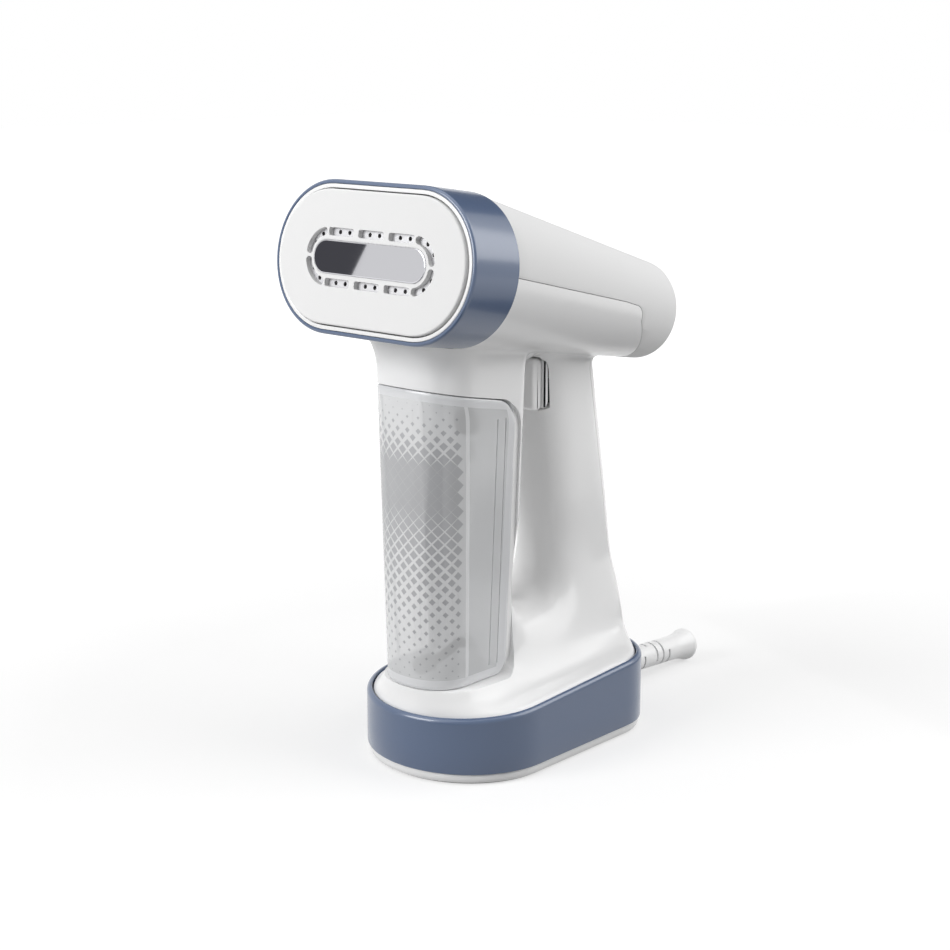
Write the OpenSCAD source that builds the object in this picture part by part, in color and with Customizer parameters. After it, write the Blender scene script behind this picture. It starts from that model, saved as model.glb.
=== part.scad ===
// Handheld garment steamer that stands on its own base.
// Origin: centre of the resting face. +Z up, -Y is the side that the steam head faces.

/* [Base] */
// Length of the base from nose to tail
base_len = 160; // [154:1:168]
// Width of the base
base_w = 106; // [102:1:112]
// How far back the rounded nose of the base reaches
base_nose = 49; // [44:1:54]
// How far forward the rounded tail of the base reaches
base_tail = 37; // [32:1:42]
// Thickness of the rubber foot pad
pad_t = 1; // [0.8:0.1:1.6]
// Distance of the foot pad from the outline of the base
pad_inset = 3.5; // [2.5:0.5:6]
// Height of the lower edge of the coloured band
band_z = 6; // [5:0.5:8]
// Height of the upper edge of the band at the nose
band_top = 35; // [33:0.5:37]
// Rise of that edge towards the tail, per millimetre of length
band_rise = 0.057; // [0.04:0.001:0.07]
// Wall of the band
band_wall = 2.6; // [2:0.1:3.2]
// Width of the chamfer on the upper edge of the band
band_chamfer = 2.4; // [1.2:0.1:2.8]
// Thickness of the floor of the base plate
floor_t = 2.4; // [2:0.1:3]

/* [Steam head] */
// Width of the face of the head
face_w = 133.7; // [130:0.1:138]
// Height of the face of the head
face_h = 75; // [73:0.5:78]
// Height of the centre of the face above the resting face
face_z = 266; // [262:1:272]
// Distance of the centre of the face in front of the origin
face_y = 95.8; // [92:0.2:99]
// Upward tilt of the face, in degrees
head_tilt = 8.55; // [6:0.05:10]
// Depth of the coloured head ring
ring_depth = 31; // [28:0.5:34]
// Wall of the head ring
ring_wall = 2; // [1.6:0.1:2.4]
// Chamfer on the front edge of the head ring
ring_chamfer = 1.5; // [0.8:0.1:1.6]
// Width of the white rim round the steam plate
rim_w = 2; // [1.6:0.1:2.4]
// Gap between the rim and the steam plate
plate_gap = 0.6; // [0.4:0.1:0.9]
// Thickness of the steam plate
plate_t = 3.2; // [2.8:0.1:3.6]
// How far the steam plate stands in front of the ring
plate_proud = 1.6; // [1.2:0.1:2]
// Distance between neighbouring steam slots
slot_pitch = 20.2; // [19.5:0.1:21]
// Length of a straight steam slot
slot_len = 16.8; // [15:0.1:17.5]
// Width of the steam slots
slot_w = 4; // [3.4:0.1:4.4]
// Half the distance between the two rows of slots
slot_row = 12.3; // [12:0.1:12.8]
// Radius of a steam jet
jet_r = 1.1; // [0.9:0.1:1.3]
// Distance between the two jets of a slot
jet_pitch = 6.4; // [5.6:0.1:7]
// Length of the polished badge
badge_w = 75; // [70:0.5:76]
// Height of the polished badge
badge_h = 16.4; // [15:0.1:16.8]
// Depth of the cast steam chamber
chamber_t = 18; // [17:0.5:19]
// Radius of the heating rod
heater_r = 3.3; // [3:0.1:3.5]

/* [Barrel] */
// Length from the face of the head to the rear end of the barrel
barrel_len = 185; // [180:1:192]
// Width of the rear end of the barrel
rear_w = 100; // [96:1:106]
// Height of the rear end of the barrel
rear_h = 52; // [50:1:56]
// How far the rear end's top lies below the line of the ring's top
rear_drop = 2; // [1:0.2:3]
// Height of the parting line below the head axis, at the ring
part_h = 0.9; // [0:0.1:2]
// Fall of the parting line per millimetre of length
part_fall = 0.075; // [0.07:0.001:0.08]
// Distance of the cover's rear band from the face of the head
part_s = 148; // [144:1:150]

/* [Column and tank] */
// Distance of the column's front in front of the origin
col_front = 75.5; // [73:0.5:77]
// Distance of the column's back in front of the origin
col_back = 13.5; // [12.5:0.1:14.5]
// Width of the column at the bottom of the tank
col_w_low = 48; // [46:0.5:51]
// Width of the column at the top of the tank
col_w_high = 61.6; // [59:0.2:64]
// Depth of the column's rounded nose
col_nose = 21; // [19:0.5:23]
// Height of the shelf that the tank stands on
shelf_z = 47.2; // [46:0.2:49]
// Height of the seam above the tank at its front
seam_z = 202; // [199:0.5:204]
// Fall of the seam towards the back, per millimetre
seam_fall = 0.19; // [0.17:0.01:0.21]
// Distance of the tank's back edge in front of the origin
tank_back_y = 23.7; // [23:0.1:24.5]
// Radius of the tank's upper rear corner, seen from the side
tank_r_top = 13; // [11:0.5:14]
// Radius of the tank's lower rear corner, seen from the side
tank_r_low = 8; // [7:0.5:9]
// Wall of the tank
tank_wall = 2.2; // [1.8:0.1:2.6]
// Thickness of the tank's top and bottom
tank_cap = 3; // [2.6:0.1:3.6]
// Width of the groove between the tank and the column
groove_w = 4.3; // [3.6:0.1:4.6]
// Height of the tank's outlet
outlet_z = 60.5; // [60:0.1:62]
// Outer radius of the outlet spigot
spigot_r = 3.6; // [3.2:0.1:3.8]
// Height of the centre of the filling plug
plug_z = 178; // [174:1:180]

/* [Handle] */
// Front of the handle behind the origin, 100 mm up
grip_front_low = 22.8; // [22:0.1:24.4]
// Front of the handle behind the origin, 190 mm up
grip_front_high = 15; // [14.4:0.1:16.2]
// Back of the handle behind the origin, 100 mm up
grip_back_low = 74.6; // [73:0.2:75.4]
// Back of the handle behind the origin, 190 mm up
grip_back_high = 61.4; // [60:0.2:62.6]
// Width of the handle 100 mm up
grip_w_low = 43; // [42:0.2:45]
// Width of the handle 190 mm up
grip_w_high = 37; // [36:0.2:39]
// Wall of the housing
shell = 2.4; // [2:0.1:2.8]
// Height of the floor of the finger opening
grip_floor = 73; // [72:0.5:78]
// Height of the roof of the finger opening
grip_roof = 209; // [208:0.5:210]
// Depth of the handle's rear cover
strip_d = 10; // [9:0.2:11]

/* [Trigger] */
// Width of the trigger
trigger_w = 25; // [22:0.5:26]
// Height of the trigger's lower edge
trigger_low = 179; // [178:0.5:181]
// Height of the trigger's upper edge
trigger_top = 206.6; // [205.5:0.1:207]
// How far the trigger stands out of the handle
trigger_proud = 6; // [5:0.2:6.4]
// Radius of the hinge pin
pin_r = 1.5; // [1.2:0.1:1.8]

/* [Pump] */
// Outer radius of the pump's coil
pump_r = 13; // [12:0.1:13.4]
// Height of the lower end of the coil
pump_z = 97; // [96:0.5:99]
// Height of the coil
pump_h = 36; // [34:0.5:38]
// Radius of the plunger
plunger_r = 4.7; // [4.4:0.1:5]
// Radius of the water hoses
hose_r = 3; // [2.6:0.1:3.2]
// Distance of the pump's axis behind the origin
pump_y = 47; // [46:0.5:48]

/* [Cord guard] */
// Outer radius of the cord guard
guard_r = 7.25; // [7:0.05:7.6]
// Radius of its bore for the mains cord
cord_r = 3.6; // [3.2:0.1:3.9]
// Length of the guard outside the base
guard_len = 89; // [84:0.5:94]
// Radius of the bell end
bell_r = 9.4; // [9:0.1:10]
// Height of the guard's axis where it leaves the base
guard_z = 15; // [14:0.2:17]
// Downward slope of the guard, in degrees
guard_tilt = 3.4; // [2.6:0.1:3.8]
// Number of flex slots
guard_slots = 11; // [8:1:12]
// Distance between flex slots
guard_pitch = 6; // [5:0.1:6]

/* [Hidden] */
gap = 0.3;               // running gap between pieces of different bodies
fit = 0.15;              // gap between fixed neighbours
film = 0.3;              // thickness of the sections that the big forms are drawn through
half_l = base_len / 2;
half_w = base_w / 2;
face_hw = face_w / 2;
face_hh = face_h / 2;
rim_hw = face_hw - ring_wall - fit;
rim_hh = face_hh - ring_wall - fit;
plate_hw = rim_hw - rim_w - plate_gap;
plate_hh = rim_hh - rim_w - plate_gap;
jet_t = 1.5;             // thickness of the jet plate
jet_s = plate_t - plate_proud - 0.5;   // depth of the jet plate's front
jet_hw = slot_pitch * 1.5 + slot_row + 4;
jet_hh = slot_row + 4.7;
arc_x = slot_pitch * 1.43;             // centre of the end arcs
chamber_s = jet_s + jet_t;             // depth of the chamber's front
chamber_hw = plate_hw - 4.3;
chamber_hh = plate_hh - 4.3;
cover_s = chamber_s + chamber_t;       // depth of the chamber cover's front
cover_t = 2;
heater_s = chamber_s + 9.4;            // depth of the heating rod's axis
heater_row = chamber_hh - heater_r - 3.2;
heater_x = chamber_hw - heater_row - heater_r - 4.5;   // centre of the rod's bend
heater_end = chamber_hw - 17.8;        // distance of the rod's ends from the middle
sensor_s = cover_s + cover_t;          // depth of the cover's back
lead_xs = [-12.8, -9];                 // places of the two heater leads
lead_r = 1.2;
lead_h = 13;                           // height of their ends above the head's axis
switch_xs = [6, 9.5];                  // places of the two switch leads
grip_z0 = 100;
grip_z1 = 190;
pin_y = grip_front_high + 5.6;
pin_z = trigger_top - 3.8;
switch_z = pin_z - 16;
switch_y = pin_y + 1.9;
switch_low = switch_z - 5.5;           // lower face of the switch
pin_half = trigger_w / 2 + 1.6;
spigot_end = -tank_back_y + 7;
board_z = floor_t + pad_t + 8;
board_w = 56;
board_l = 74;
board_y = -8;
post_xy = [[-24, -32], [24, -32], [-24, 30], [24, 30]];
base_screw_xy = [for (x = [17 - half_w, half_w - 17]) for (y = [42 - half_l, half_l - 38]) [x, y]];
seat_z = shelf_z + gap;                // lower face of the tank
boss_z = band_z + 3;                   // lower end of the housing's screw bosses

// ---------- outlines ----------

function arc(cx, cy, r, a0, a1, n) =
    [for (i = [0:n]) [cx + r * cos(a0 + (a1 - a0) * i / n), cy + r * sin(a0 + (a1 - a0) * i / n)]];

// Half width times a rounded power curve, for noses that are fuller than an ellipse
function nose(cx, cy, rx, ry, a0, a1, n, k) =
    [for (i = [0:n]) let (a = a0 + (a1 - a0) * i / n)
        [cx + rx * sign(cos(a)) * pow(abs(cos(a)), 2 / k), cy + ry * sign(sin(a)) * pow(abs(sin(a)), 2 / k)]];

function stadium(hw, hh, n = 16) =
    concat(arc(hw - hh, 0, hh, -90, 90, n), arc(hh - hw, 0, hh, 90, 270, n));

// Plan of the base, drawn inwards by inset
function base_plan(inset = 0, n = 16) = concat(
    nose(0, half_l - base_tail, half_w - inset, base_tail - inset, 0, 180, n, 2.2),
    nose(0, base_nose - half_l, half_w - inset, base_nose - inset, 180, 360, n, 2));

function band_z_at(y) = band_top + band_rise * (y + half_l);

function col_half(z) = (col_w_low + (col_w_high - col_w_low) * (z - shelf_z) / (seam_z - shelf_z)) / 2;

// Plan of the column at height z, drawn inwards by inset
function col_plan(z, inset = 0, n = 14) =
    let (w = col_half(z) - inset, r = max(8 - inset, 2), e = col_nose - inset / 2)
    concat(
        arc(w - r, -col_back - inset - r, r, 0, 90, 4),
        arc(r - w, -col_back - inset - r, r, 90, 180, 4),
        nose(0, e + inset - col_front, w, e, 180, 360, n, 2.2));

function ramp(z, low, high) = low + (high - low) * (z - grip_z0) / (grip_z1 - grip_z0);
function grip_front(z) = ramp(z, grip_front_low, grip_front_high);
function grip_back(z) = ramp(z, grip_back_low, grip_back_high);
function grip_half(z) = ramp(z, grip_w_low, grip_w_high) / 2;

// Plan of the handle at height z: round in front, squarer at the back
function grip_plan(z, inset = 0, n = 20) =
    let (f = grip_front(z) + inset, b = grip_back(z) - inset, c = (f + b) / 2, w = grip_half(z) - inset)
    concat(nose(0, c, w, b - c, 0, 180 - 180 / n, n - 1, 3.4), nose(0, c, w, b - c, 180, 360 - 180 / n, n - 1, 2.6));

// Plan of the foot of the body: a rounded slab from front to back
function foot_plan(hw, front, back, n = 14) =
    let (wide = hw > half_w - 12, e0 = wide ? base_nose - half_w + hw : hw * 0.9,
        e1 = wide ? base_tail - half_w + hw : min(hw * 0.8, base_tail))
    concat(nose(0, back - e1, hw, e1, 0, 180, n, wide ? 2.2 : hw > 32 ? 2.6 : 3.4),
        nose(0, front + e0, hw, e0, 180, 360, n, wide ? 2 : 2.3));

module plate_at(z, pts) translate([0, 0, z]) linear_extrude(film) polygon(pts);

// The same, on the slope of the band's upper edge
module sloped_plate(z, pts)
    multmatrix([[1, 0, 0, 0], [0, 1, 0, 0], [0, band_rise, 1, z + band_z_at(0)], [0, 0, 0, 1]])
        linear_extrude(film) polygon(pts);

// ---------- frames of reference ----------

// Head: X across, Y up the face, Z out of the face
module in_head() translate([0, -face_y, face_z]) rotate([90 - head_tilt, 0, 0]) children();

// A slab of the head between two depths behind the face
module head_slab(s0, s1, pts) in_head() translate([0, 0, -s1]) linear_extrude(s1 - s0) polygon(pts);

// A rod in the head along its axis, between two depths
module head_rod(x, y, s0, s1, r) in_head() translate([x, y, -s1]) cylinder(h = s1 - s0, r = r, $fn = 32);

module in_guard() translate([0, half_l, guard_z]) rotate([-90 - guard_tilt, 0, 0]) children();

// Seen from the side: profile in Y and Z, drawn through the body along X
module side_slab(hw, pts) translate([-hw, 0, 0]) rotate([90, 0, 90]) linear_extrude(2 * hw) polygon(pts);

// ---------- tubes that lie in a plane of constant X ----------

function unit(v) = v / norm(v);
function heading(p, i) = unit(p[min(i + 1, len(p) - 1)] - p[max(i - 1, 0)]);

module side_tube(x, path, r, n = 10) {
    pts = [for (i = [0:len(path) - 1]) let (t = heading(path, i)) for (k = [0:n - 1])
        [x + r * cos(360 * k / n), path[i][0] - t[1] * r * sin(360 * k / n),
            path[i][1] + t[0] * r * sin(360 * k / n)]];
    last = len(path) - 1;
    faces = concat(
        [[for (k = [0:n - 1]) k]],
        [for (i = [0:last - 1]) for (k = [0:n - 1])
            [i * n + k, (i + 1) * n + k, (i + 1) * n + (k + 1) % n, i * n + (k + 1) % n]],
        [[for (k = [n - 1:-1:0]) last * n + k]]);
    polyhedron(pts, faces, convexity = 6);
}

// A smooth run of points through a few chosen ones
function spline(p, steps = 4) = concat([for (i = [0:len(p) - 2]) for (j = [0:steps - 1])
    let (a = p[max(i - 1, 0)], b = p[i], c = p[i + 1], d = p[min(i + 2, len(p) - 1)], t = j / steps)
    0.5 * (2 * b + (c - a) * t + (2 * a - 5 * b + 4 * c - d) * t * t
        + (3 * b - a - 3 * c + d) * t * t * t)], [p[len(p) - 1]]);

// A coil round Z
module coil(r, wire, pitch, turns, n = 14, sides = 6) {
    steps = turns * n;
    pts = [for (i = [0:steps]) let (a = 360 * i / n) for (k = [0:sides - 1])
        let (q = r + wire * cos(360 * k / sides))
        [q * cos(a), q * sin(a), pitch * i / n + wire * sin(360 * k / sides)]];
    faces = concat(
        [[for (k = [0:sides - 1]) k]],
        [for (i = [0:steps - 1]) for (k = [0:sides - 1])
            [i * sides + k, (i + 1) * sides + k, (i + 1) * sides + (k + 1) % sides, i * sides + (k + 1) % sides]],
        [[for (k = [sides - 1:-1:0]) steps * sides + k]]);
    polyhedron(pts, faces, convexity = 8);
}

// ---------- the big outer forms, as chains of sections ----------

// Barrel section at depth s: half width, half height and centre
function barrel_k(s) = (s - ring_depth) / (barrel_len - ring_depth);
function barrel_hw(s) = face_hw - 0.5 + (rear_w / 2 - face_hw + 0.5) * barrel_k(s);
function barrel_hh(s) = face_hh - 0.5 + (rear_h / 2 - face_hh + 0.5) * barrel_k(s);
function barrel_c(s) = (rear_h / 2 - face_hh + 0.5 - rear_drop) * barrel_k(s);

module barrel_plate(s, inset)
    in_head() translate([0, barrel_c(s), -s])
        linear_extrude(film) polygon(stadium(barrel_hw(s) - inset, barrel_hh(s) - inset, 15));

// Each end step is [distance from the rear end, extra inset]
barrel_end = [[5, 0], [2.4, 0.8], [0.9, 2.4], [0, 4.6]];

module barrel_form(s0) {
    hull() {
        barrel_plate(s0 + film, 0);
        barrel_plate(barrel_len - barrel_end[0][0], 0);
    }
    for (i = [0:2])
        hull() for (e = [barrel_end[i], barrel_end[i + 1]])
            barrel_plate(barrel_len - e[0], e[1]);
}

module barrel_hollow(s0)
    hull() for (s = [s0, barrel_len - shell]) barrel_plate(s, shell);

// Seen from the side in the head's frame: everything that belongs to the cover
function part_at(s) = -part_h - part_fall * (s - ring_depth);
module cover_zone(grow) {
    knee = part_at(part_s) - 8;
    in_head() rotate([0, 90, 0]) translate([0, 0, -face_hw]) linear_extrude(face_w)
        polygon(concat(
            [[ring_depth - 6, face_h], [ring_depth - 6, part_at(ring_depth - 6) - grow]],
            arc(part_s - 8 - grow, knee, 8, 90, 0, 6),
            [[part_s + 32 - grow, -face_h], [barrel_len + 20, -face_h], [barrel_len + 20, face_h]]));
}

// Column sections: height and how far they swell into the barrel
col_steps = [[shelf_z - 6.3, 0], [212, 0], [216, 0.5], [220, 1.2], [226, 3]];
module column_form(inset)
    for (i = [0:len(col_steps) - 2])
        hull() for (c = [col_steps[i], col_steps[i + 1]])
            plate_at(c[0], col_plan(c[0], inset - c[1]));

// Handle sections
grip_steps = [[70, 0], [120, 0], [196, 0], [202, 1], [206, 2.6], [212, 7]];
module grip_form(inset)
    for (i = [0:len(grip_steps) - 2])
        hull() for (g = [grip_steps[i], grip_steps[i + 1]])
            plate_at(g[0], grip_plan(g[0], inset - g[1]));

// Foot of the body: height above the band's edge, half width, front and back
foot_back = half_l - 3;
foot_steps = [
    [-8, half_w - 3, 3 - half_l, foot_back],
    [-0.2, half_w - 3, 3 - half_l, foot_back],
    [1, half_w - 6, 3.2 - half_l, foot_back - 0.2],
    [2.6, half_w - 12.6, 3.6 - half_l, foot_back - 0.5],
    [5.2, half_w - 19, 4 - half_l, foot_back - 0.8],
    [12.2, col_w_low / 2 + 5.4, 4.4 - half_l, foot_back - 1.1],
    [20, col_w_low / 2 + 3, -col_back - 5.7, foot_back - 1.3],
    [32, col_w_low / 2 + 0.8, -col_back - 5.7, foot_back - 1.6],
    [46, col_w_low / 2 - 1.2, -col_back - 5.7, foot_back - 2],
    [54, col_w_low / 2 - 2.6, -col_back - 5, foot_back - 2.8],
    [59, col_w_low / 2 - 9, -col_back - 4, foot_back - 12]];
module foot_form(inset)
    for (i = [0:len(foot_steps) - 2])
        hull() for (f = [foot_steps[i], foot_steps[i + 1]])
            sloped_plate(f[0] - inset * (f == foot_steps[0] ? 2 : 0.6),
                foot_plan(f[1] - inset, f[2] + inset, f[3] - inset));

// The bridge over the finger opening
module bridge_form(inset)
    hull() for (z = [194.7, 214])
        plate_at(z, foot_plan(17 - inset, -col_back - 9, grip_front_high + 12));

// Finger opening, from side to side
module finger_gap(grow)
    hull() for (c = [
            [14.3 - col_back, grip_floor + 14, 14], [grip_front(grip_floor + 12) - 12.6, grip_floor + 12, 12],
            [grip_front(grip_roof - 10) - 10.6, grip_roof - 10, 10], [10.3 - col_back, grip_roof - 9, 10]])
        translate([-half_w, c[0], c[1]]) rotate([0, 90, 0]) cylinder(h = base_w, r = c[2] + grow, $fn = 40);

// Seen from the side: the tank's place, from its shelf to the seam
function seam_at(y) = seam_z - seam_fall * (y + col_front);
module tank_side(low, high, back, r_low = tank_r_low, r_top = tank_r_top)
    side_slab(half_w + 20, concat(
        [[-col_front - 12, seam_at(-col_front - 12) - high], [-col_front - 12, low]],
        arc(back - r_low, low + r_low, r_low, 270, 360, 5),
        arc(back - r_top, seam_at(back - r_top) - high - r_top, r_top, 0, 79, 6)));

// The room that the housing leaves for the tank
module tank_bay(grow) {
    tank_side(shelf_z - grow, 0.1 - grow, 0.3 - tank_back_y + grow, tank_r_low + 0.3 + grow, tank_r_top + 0.3 + grow);
    for (side = [-1, 1])
        intersection() {
            tank_side(shelf_z + 2 - grow, 1.4 - grow, groove_w - tank_back_y + grow,
                tank_r_low + 2 + grow, tank_r_top + 3 + grow);
            hull() for (z = [shelf_z - 4, seam_z])
                translate([side * (col_half(z) + 20 - groove_w - grow), -col_front, z])
                    translate([-20, 0, 0]) cube([40, col_front, 0.1]);
        }
}

module trigger_pocket(grow)
    translate([-trigger_w / 2 - grow, grip_front_high - 12, trigger_low - 0.9 - grow])
        cube([trigger_w + 2 * grow, 23, trigger_top - trigger_low + 1.5 + 2 * grow]);

module body_form(inset) {
    if (inset == 0) barrel_form(ring_depth - 4);
    else barrel_hollow(ring_depth - 12);
    column_form(inset);
    grip_form(inset);
    foot_form(inset);
    bridge_form(inset);
}

module body_hollow()
    difference() {
        body_form(shell);
        finger_gap(shell);
        tank_bay(shell);
    }

// What lies behind the crease on the handle's back
module strip_zone(d)
    side_slab(half_w, [
        [grip_back(60) - d + 6, 46], [grip_back(80) - d + 1, 78], [grip_back(grip_z0) - d, grip_z0],
        [grip_back(198) - d, 198], [grip_back(203) - d + 3, 203.4], [grip_back(203) + 14, 203.4],
        [grip_back(60) + 14, 46]]);

// ---------- base ----------

module foot_pad() color("#3A3A3C")
    linear_extrude(pad_t) polygon(base_plan(pad_inset));

module base_plate() color("#EDEDED") difference() {
    union() {
        translate([0, 0, pad_t]) linear_extrude(1.6) polygon(base_plan(1.7));
        translate([0, 0, pad_t + 1.6]) linear_extrude(band_z - pad_t - 1.6 - 0.1) polygon(base_plan(1));
        translate([0, 0, band_z - 0.1]) linear_extrude(boss_z - fit - band_z + 0.1) polygon(base_plan(band_wall + gap));
        for (p = post_xy) translate([p[0], p[1] + board_y, pad_t]) cylinder(h = board_z - pad_t, r = 3.4, $fn = 32);
    }
    translate([0, 0, pad_t + floor_t]) linear_extrude(30) difference() {
        polygon(base_plan(band_wall + gap + 2));
        for (p = concat([for (q = post_xy) [q[0], q[1] + board_y]], base_screw_xy))
            translate(p) circle(r = 3.4, $fn = 32);
    }
    for (p = base_screw_xy) translate([p[0], p[1], pad_t - 1]) {
        cylinder(h = boss_z, r = 1.8, $fn = 24);
        cylinder(h = 3.4, r = 3.3, $fn = 24);
    }
    for (p = post_xy) translate([p[0], p[1] + board_y, board_z - 5]) cylinder(h = 12, r = 1.05, $fn = 24);
    in_guard() translate([0, 0, -12]) cylinder(h = 10, r = guard_r + 3, $fn = 48);
}

// Rings of points make the wall of the band, which follows the slope on top
module base_band() color("#5E6E86") {
    n = 20;
    tall = function (inset, drop) [for (p = base_plan(inset, n)) [p[0], p[1], band_z_at(p[1]) - drop]];
    flat = function (inset, z) [for (p = base_plan(inset, n)) [p[0], p[1], z]];
    rings = [flat(0.4, band_z), flat(0, band_z + 0.6), tall(0, band_chamfer), tall(0.5, band_chamfer * 0.35),
        tall(band_chamfer, 0), tall(band_wall + 0.2, 0.4), flat(band_wall, band_z)];
    m = len(rings[0]);
    k = len(rings);
    difference() {
        polyhedron([for (r = rings) for (p = r) p],
            [for (i = [0:k - 1]) for (j = [0:m - 1])
                [i * m + j, ((i + 1) % k) * m + j, ((i + 1) % k) * m + (j + 1) % m, i * m + (j + 1) % m]],
            convexity = 8);
        in_guard() translate([0, 0, -12]) cylinder(h = 20, r = guard_r + fit, $fn = 48);
    }
}

module base_screws() color("#9A9A9C")
    for (p = base_screw_xy) translate([p[0], p[1], pad_t + 0.2]) {
        cylinder(h = 1.9, r = 3, $fn = 24);
        cylinder(h = boss_z + 6 - pad_t, r = 1.5, $fn = 24);
    }

// ---------- housing ----------

module main_housing() color("#F4F4F4") {
    difference() {
        union() {
            difference() {
                body_form(0);
                body_hollow();
                cover_zone(0);
                finger_gap(0);
                tank_bay(0);
                strip_zone(strip_d);
                trigger_pocket(0.2);
                head_slab(-9, ring_depth + 0.2, stadium(face_hw + 0.3, face_hh + 0.3));
            }
            difference() {
                head_slab(ring_depth - 9, ring_depth + 3, stadium(rim_hw, rim_hh));
                head_slab(ring_depth - 10, ring_depth + 4, stadium(rim_hw - 2, rim_hh - 2));
            }
            for (p = base_screw_xy) translate([p[0], p[1], boss_z])
                cylinder(h = band_z_at(p[1]) + 3 - boss_z, r = 3.9, $fn = 24);
        }
        for (p = base_screw_xy) translate([p[0], p[1], boss_z - 1]) cylinder(h = 10, r = 1.6, $fn = 20);
        translate([0, 10 - tank_back_y, outlet_z]) rotate([90, 0, 0]) cylinder(h = 20, r = spigot_r + 1.4, $fn = 32);
        translate([0, pin_y, pin_z]) rotate([0, 90, 0]) cylinder(h = 2 * pin_half + 0.6, r = pin_r + 0.05, center = true, $fn = 24);
    }
}

module rear_cover() color("#F4F4F4") intersection() {
    difference() {
        union() {
            grip_form(0);
            foot_form(0);
        }
        union() {
            grip_form(shell);
            foot_form(shell);
        }
    }
    strip_zone(strip_d - fit);
}

module barrel_cover() color("#DCDCDC") intersection() {
    difference() {
        barrel_form(ring_depth + 0.2);
        barrel_hollow(ring_depth - 1);
        head_slab(ring_depth - 9, ring_depth + 3.2, stadium(rim_hw + fit, rim_hh + fit));
    }
    cover_zone(-fit);
}

// ---------- steam head ----------

module head_ring() color("#5E6E86") difference() {
    union() {
        for (i = [0:2]) head_slab(ring_chamfer * i / 3, ring_depth,
            stadium(face_hw - ring_chamfer * (2 - i) / 3, face_hh - ring_chamfer * (2 - i) / 3));
    }
    head_slab(-1, ring_depth + 1, stadium(face_hw - ring_wall, face_hh - ring_wall));
}

module plate_frame() color("#F2F2F2") difference() {
    head_slab(0, ring_depth - 9.3, stadium(rim_hw, rim_hh));
    head_slab(-1, 4.4, stadium(rim_hw - rim_w, rim_hh - rim_w));
    head_slab(4, ring_depth, stadium(chamber_hw + 0.5, chamber_hh + 0.5));
}

module plate_gasket() color("#4A4A4C") difference() {
    head_slab(plate_t - plate_proud, 4.4, stadium(plate_hw + 0.2, plate_hh + 0.2));
    head_slab(0, 5, stadium(chamber_hw + 0.5, chamber_hh + 0.5));
}

// The straight slots and the end arcs, cut between two depths
module steam_slots(s0, s1) {
    for (row = [-1, 1]) for (i = [-1:1])
        head_slab(s0, s1, [for (p = stadium(slot_len / 2, slot_w / 2, 6)) p + [i * slot_pitch, row * slot_row]]);
    for (a = [0, 90, 180, 270])
        head_slab(s0, s1, [for (p = concat(
            arc(0, 0, slot_row + slot_w / 2, a + 7, a + 83, 10),
            arc(0, 0, slot_row - slot_w / 2, a + 83, a + 7, 10)))
            p + [(a == 0 || a == 270 ? 1 : -1) * arc_x, 0]]);
}

module steam_plate() color("#E6E6EA") difference() {
    union() {
        head_slab(0.6 - plate_proud, plate_t - plate_proud, stadium(plate_hw, plate_hh));
        head_slab(-plate_proud, 1 - plate_proud, stadium(plate_hw - 0.5, plate_hh - 0.5));
    }
    steam_slots(-plate_proud - 1, plate_t);
    head_slab(jet_s, plate_t, stadium(jet_hw + fit, jet_hh + fit));
    head_slab(-plate_proud - 1, 0.5 - plate_proud, stadium(badge_w / 2 + 0.3, badge_h / 2 + 0.3));
}

module jet_plate() color("#D8D8DC") difference() {
    head_slab(jet_s, jet_s + jet_t, stadium(jet_hw, jet_hh));
    for (row = [-1, 1]) {
        for (i = [-1:1]) for (j = [-1, 1])
            head_rod(i * slot_pitch + j * jet_pitch / 2, row * slot_row, jet_s - 1, chamber_s + 1, jet_r);
        for (side = [-1, 1]) for (a = [30, 60])
            head_rod(side * (arc_x + slot_row * cos(a)), row * slot_row * sin(a), jet_s - 1, chamber_s + 1, jet_r);
    }
}

module center_badge() color("#C8C8CE") union() {
    head_slab(-plate_proud - 0.1, 0.5 - plate_proud, stadium(badge_w / 2, badge_h / 2));
    head_slab(-plate_proud - 0.35, 0.2 - plate_proud, stadium(badge_w / 2 - 0.3, badge_h / 2 - 0.3));
}

module heater_path(r) in_head() translate([0, 0, -heater_s]) {
    for (row = [-1, 1]) translate([heater_x, row * heater_row, 0]) rotate([0, -90, 0])
        cylinder(h = heater_x + heater_end, r = r, $fn = 32);
    translate([heater_x, 0, 0]) rotate([0, 0, -90]) rotate_extrude(angle = 180, $fn = 48)
        translate([heater_row, 0]) circle(r = r, $fn = 24);
}

module steam_chamber() color("#B4B4B6") difference() {
    head_slab(chamber_s, cover_s, stadium(chamber_hw, chamber_hh));
    head_slab(chamber_s + 5, cover_s + 1, stadium(slot_pitch * 1.5 + 12, slot_row + 2.4));
    for (row = [-1, 1]) for (i = [-1:1])
        head_rod(i * slot_pitch, row * slot_row, chamber_s - 1, chamber_s + 6, 2.6);
    for (side = [-1, 1]) head_rod(side * (arc_x + 8), 0, chamber_s - 1, chamber_s + 6, 4);
    heater_path(heater_r + 0.1);
    for (p = chamber_screw_xy) head_rod(p[0], p[1], cover_s - 4, cover_s + 1, 1.25);
    for (row = [-1, 1]) head_rod(terminal_x, row * heater_row, heater_s, cover_s + 1, 1.6);
}

chamber_screw_xy = [[-27, heater_row], [27, heater_row], [-27, -heater_row], [27, -heater_row],
    [-chamber_hw + 5, 0], [chamber_hw - 5, 0]];

module chamber_cover() color("#C9C9CB") difference() {
    head_slab(cover_s, cover_s + cover_t, stadium(chamber_hw, chamber_hh));
    for (p = chamber_screw_xy) head_rod(p[0], p[1], cover_s - 1, sensor_s + 1, 1.6);
    for (row = [-1, 1]) head_rod(terminal_x, row * heater_row, cover_s - 1, sensor_s + 1, 1.6);
    head_rod(0, 0, cover_s - 1, sensor_s + 1, 3.1);
}

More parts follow.
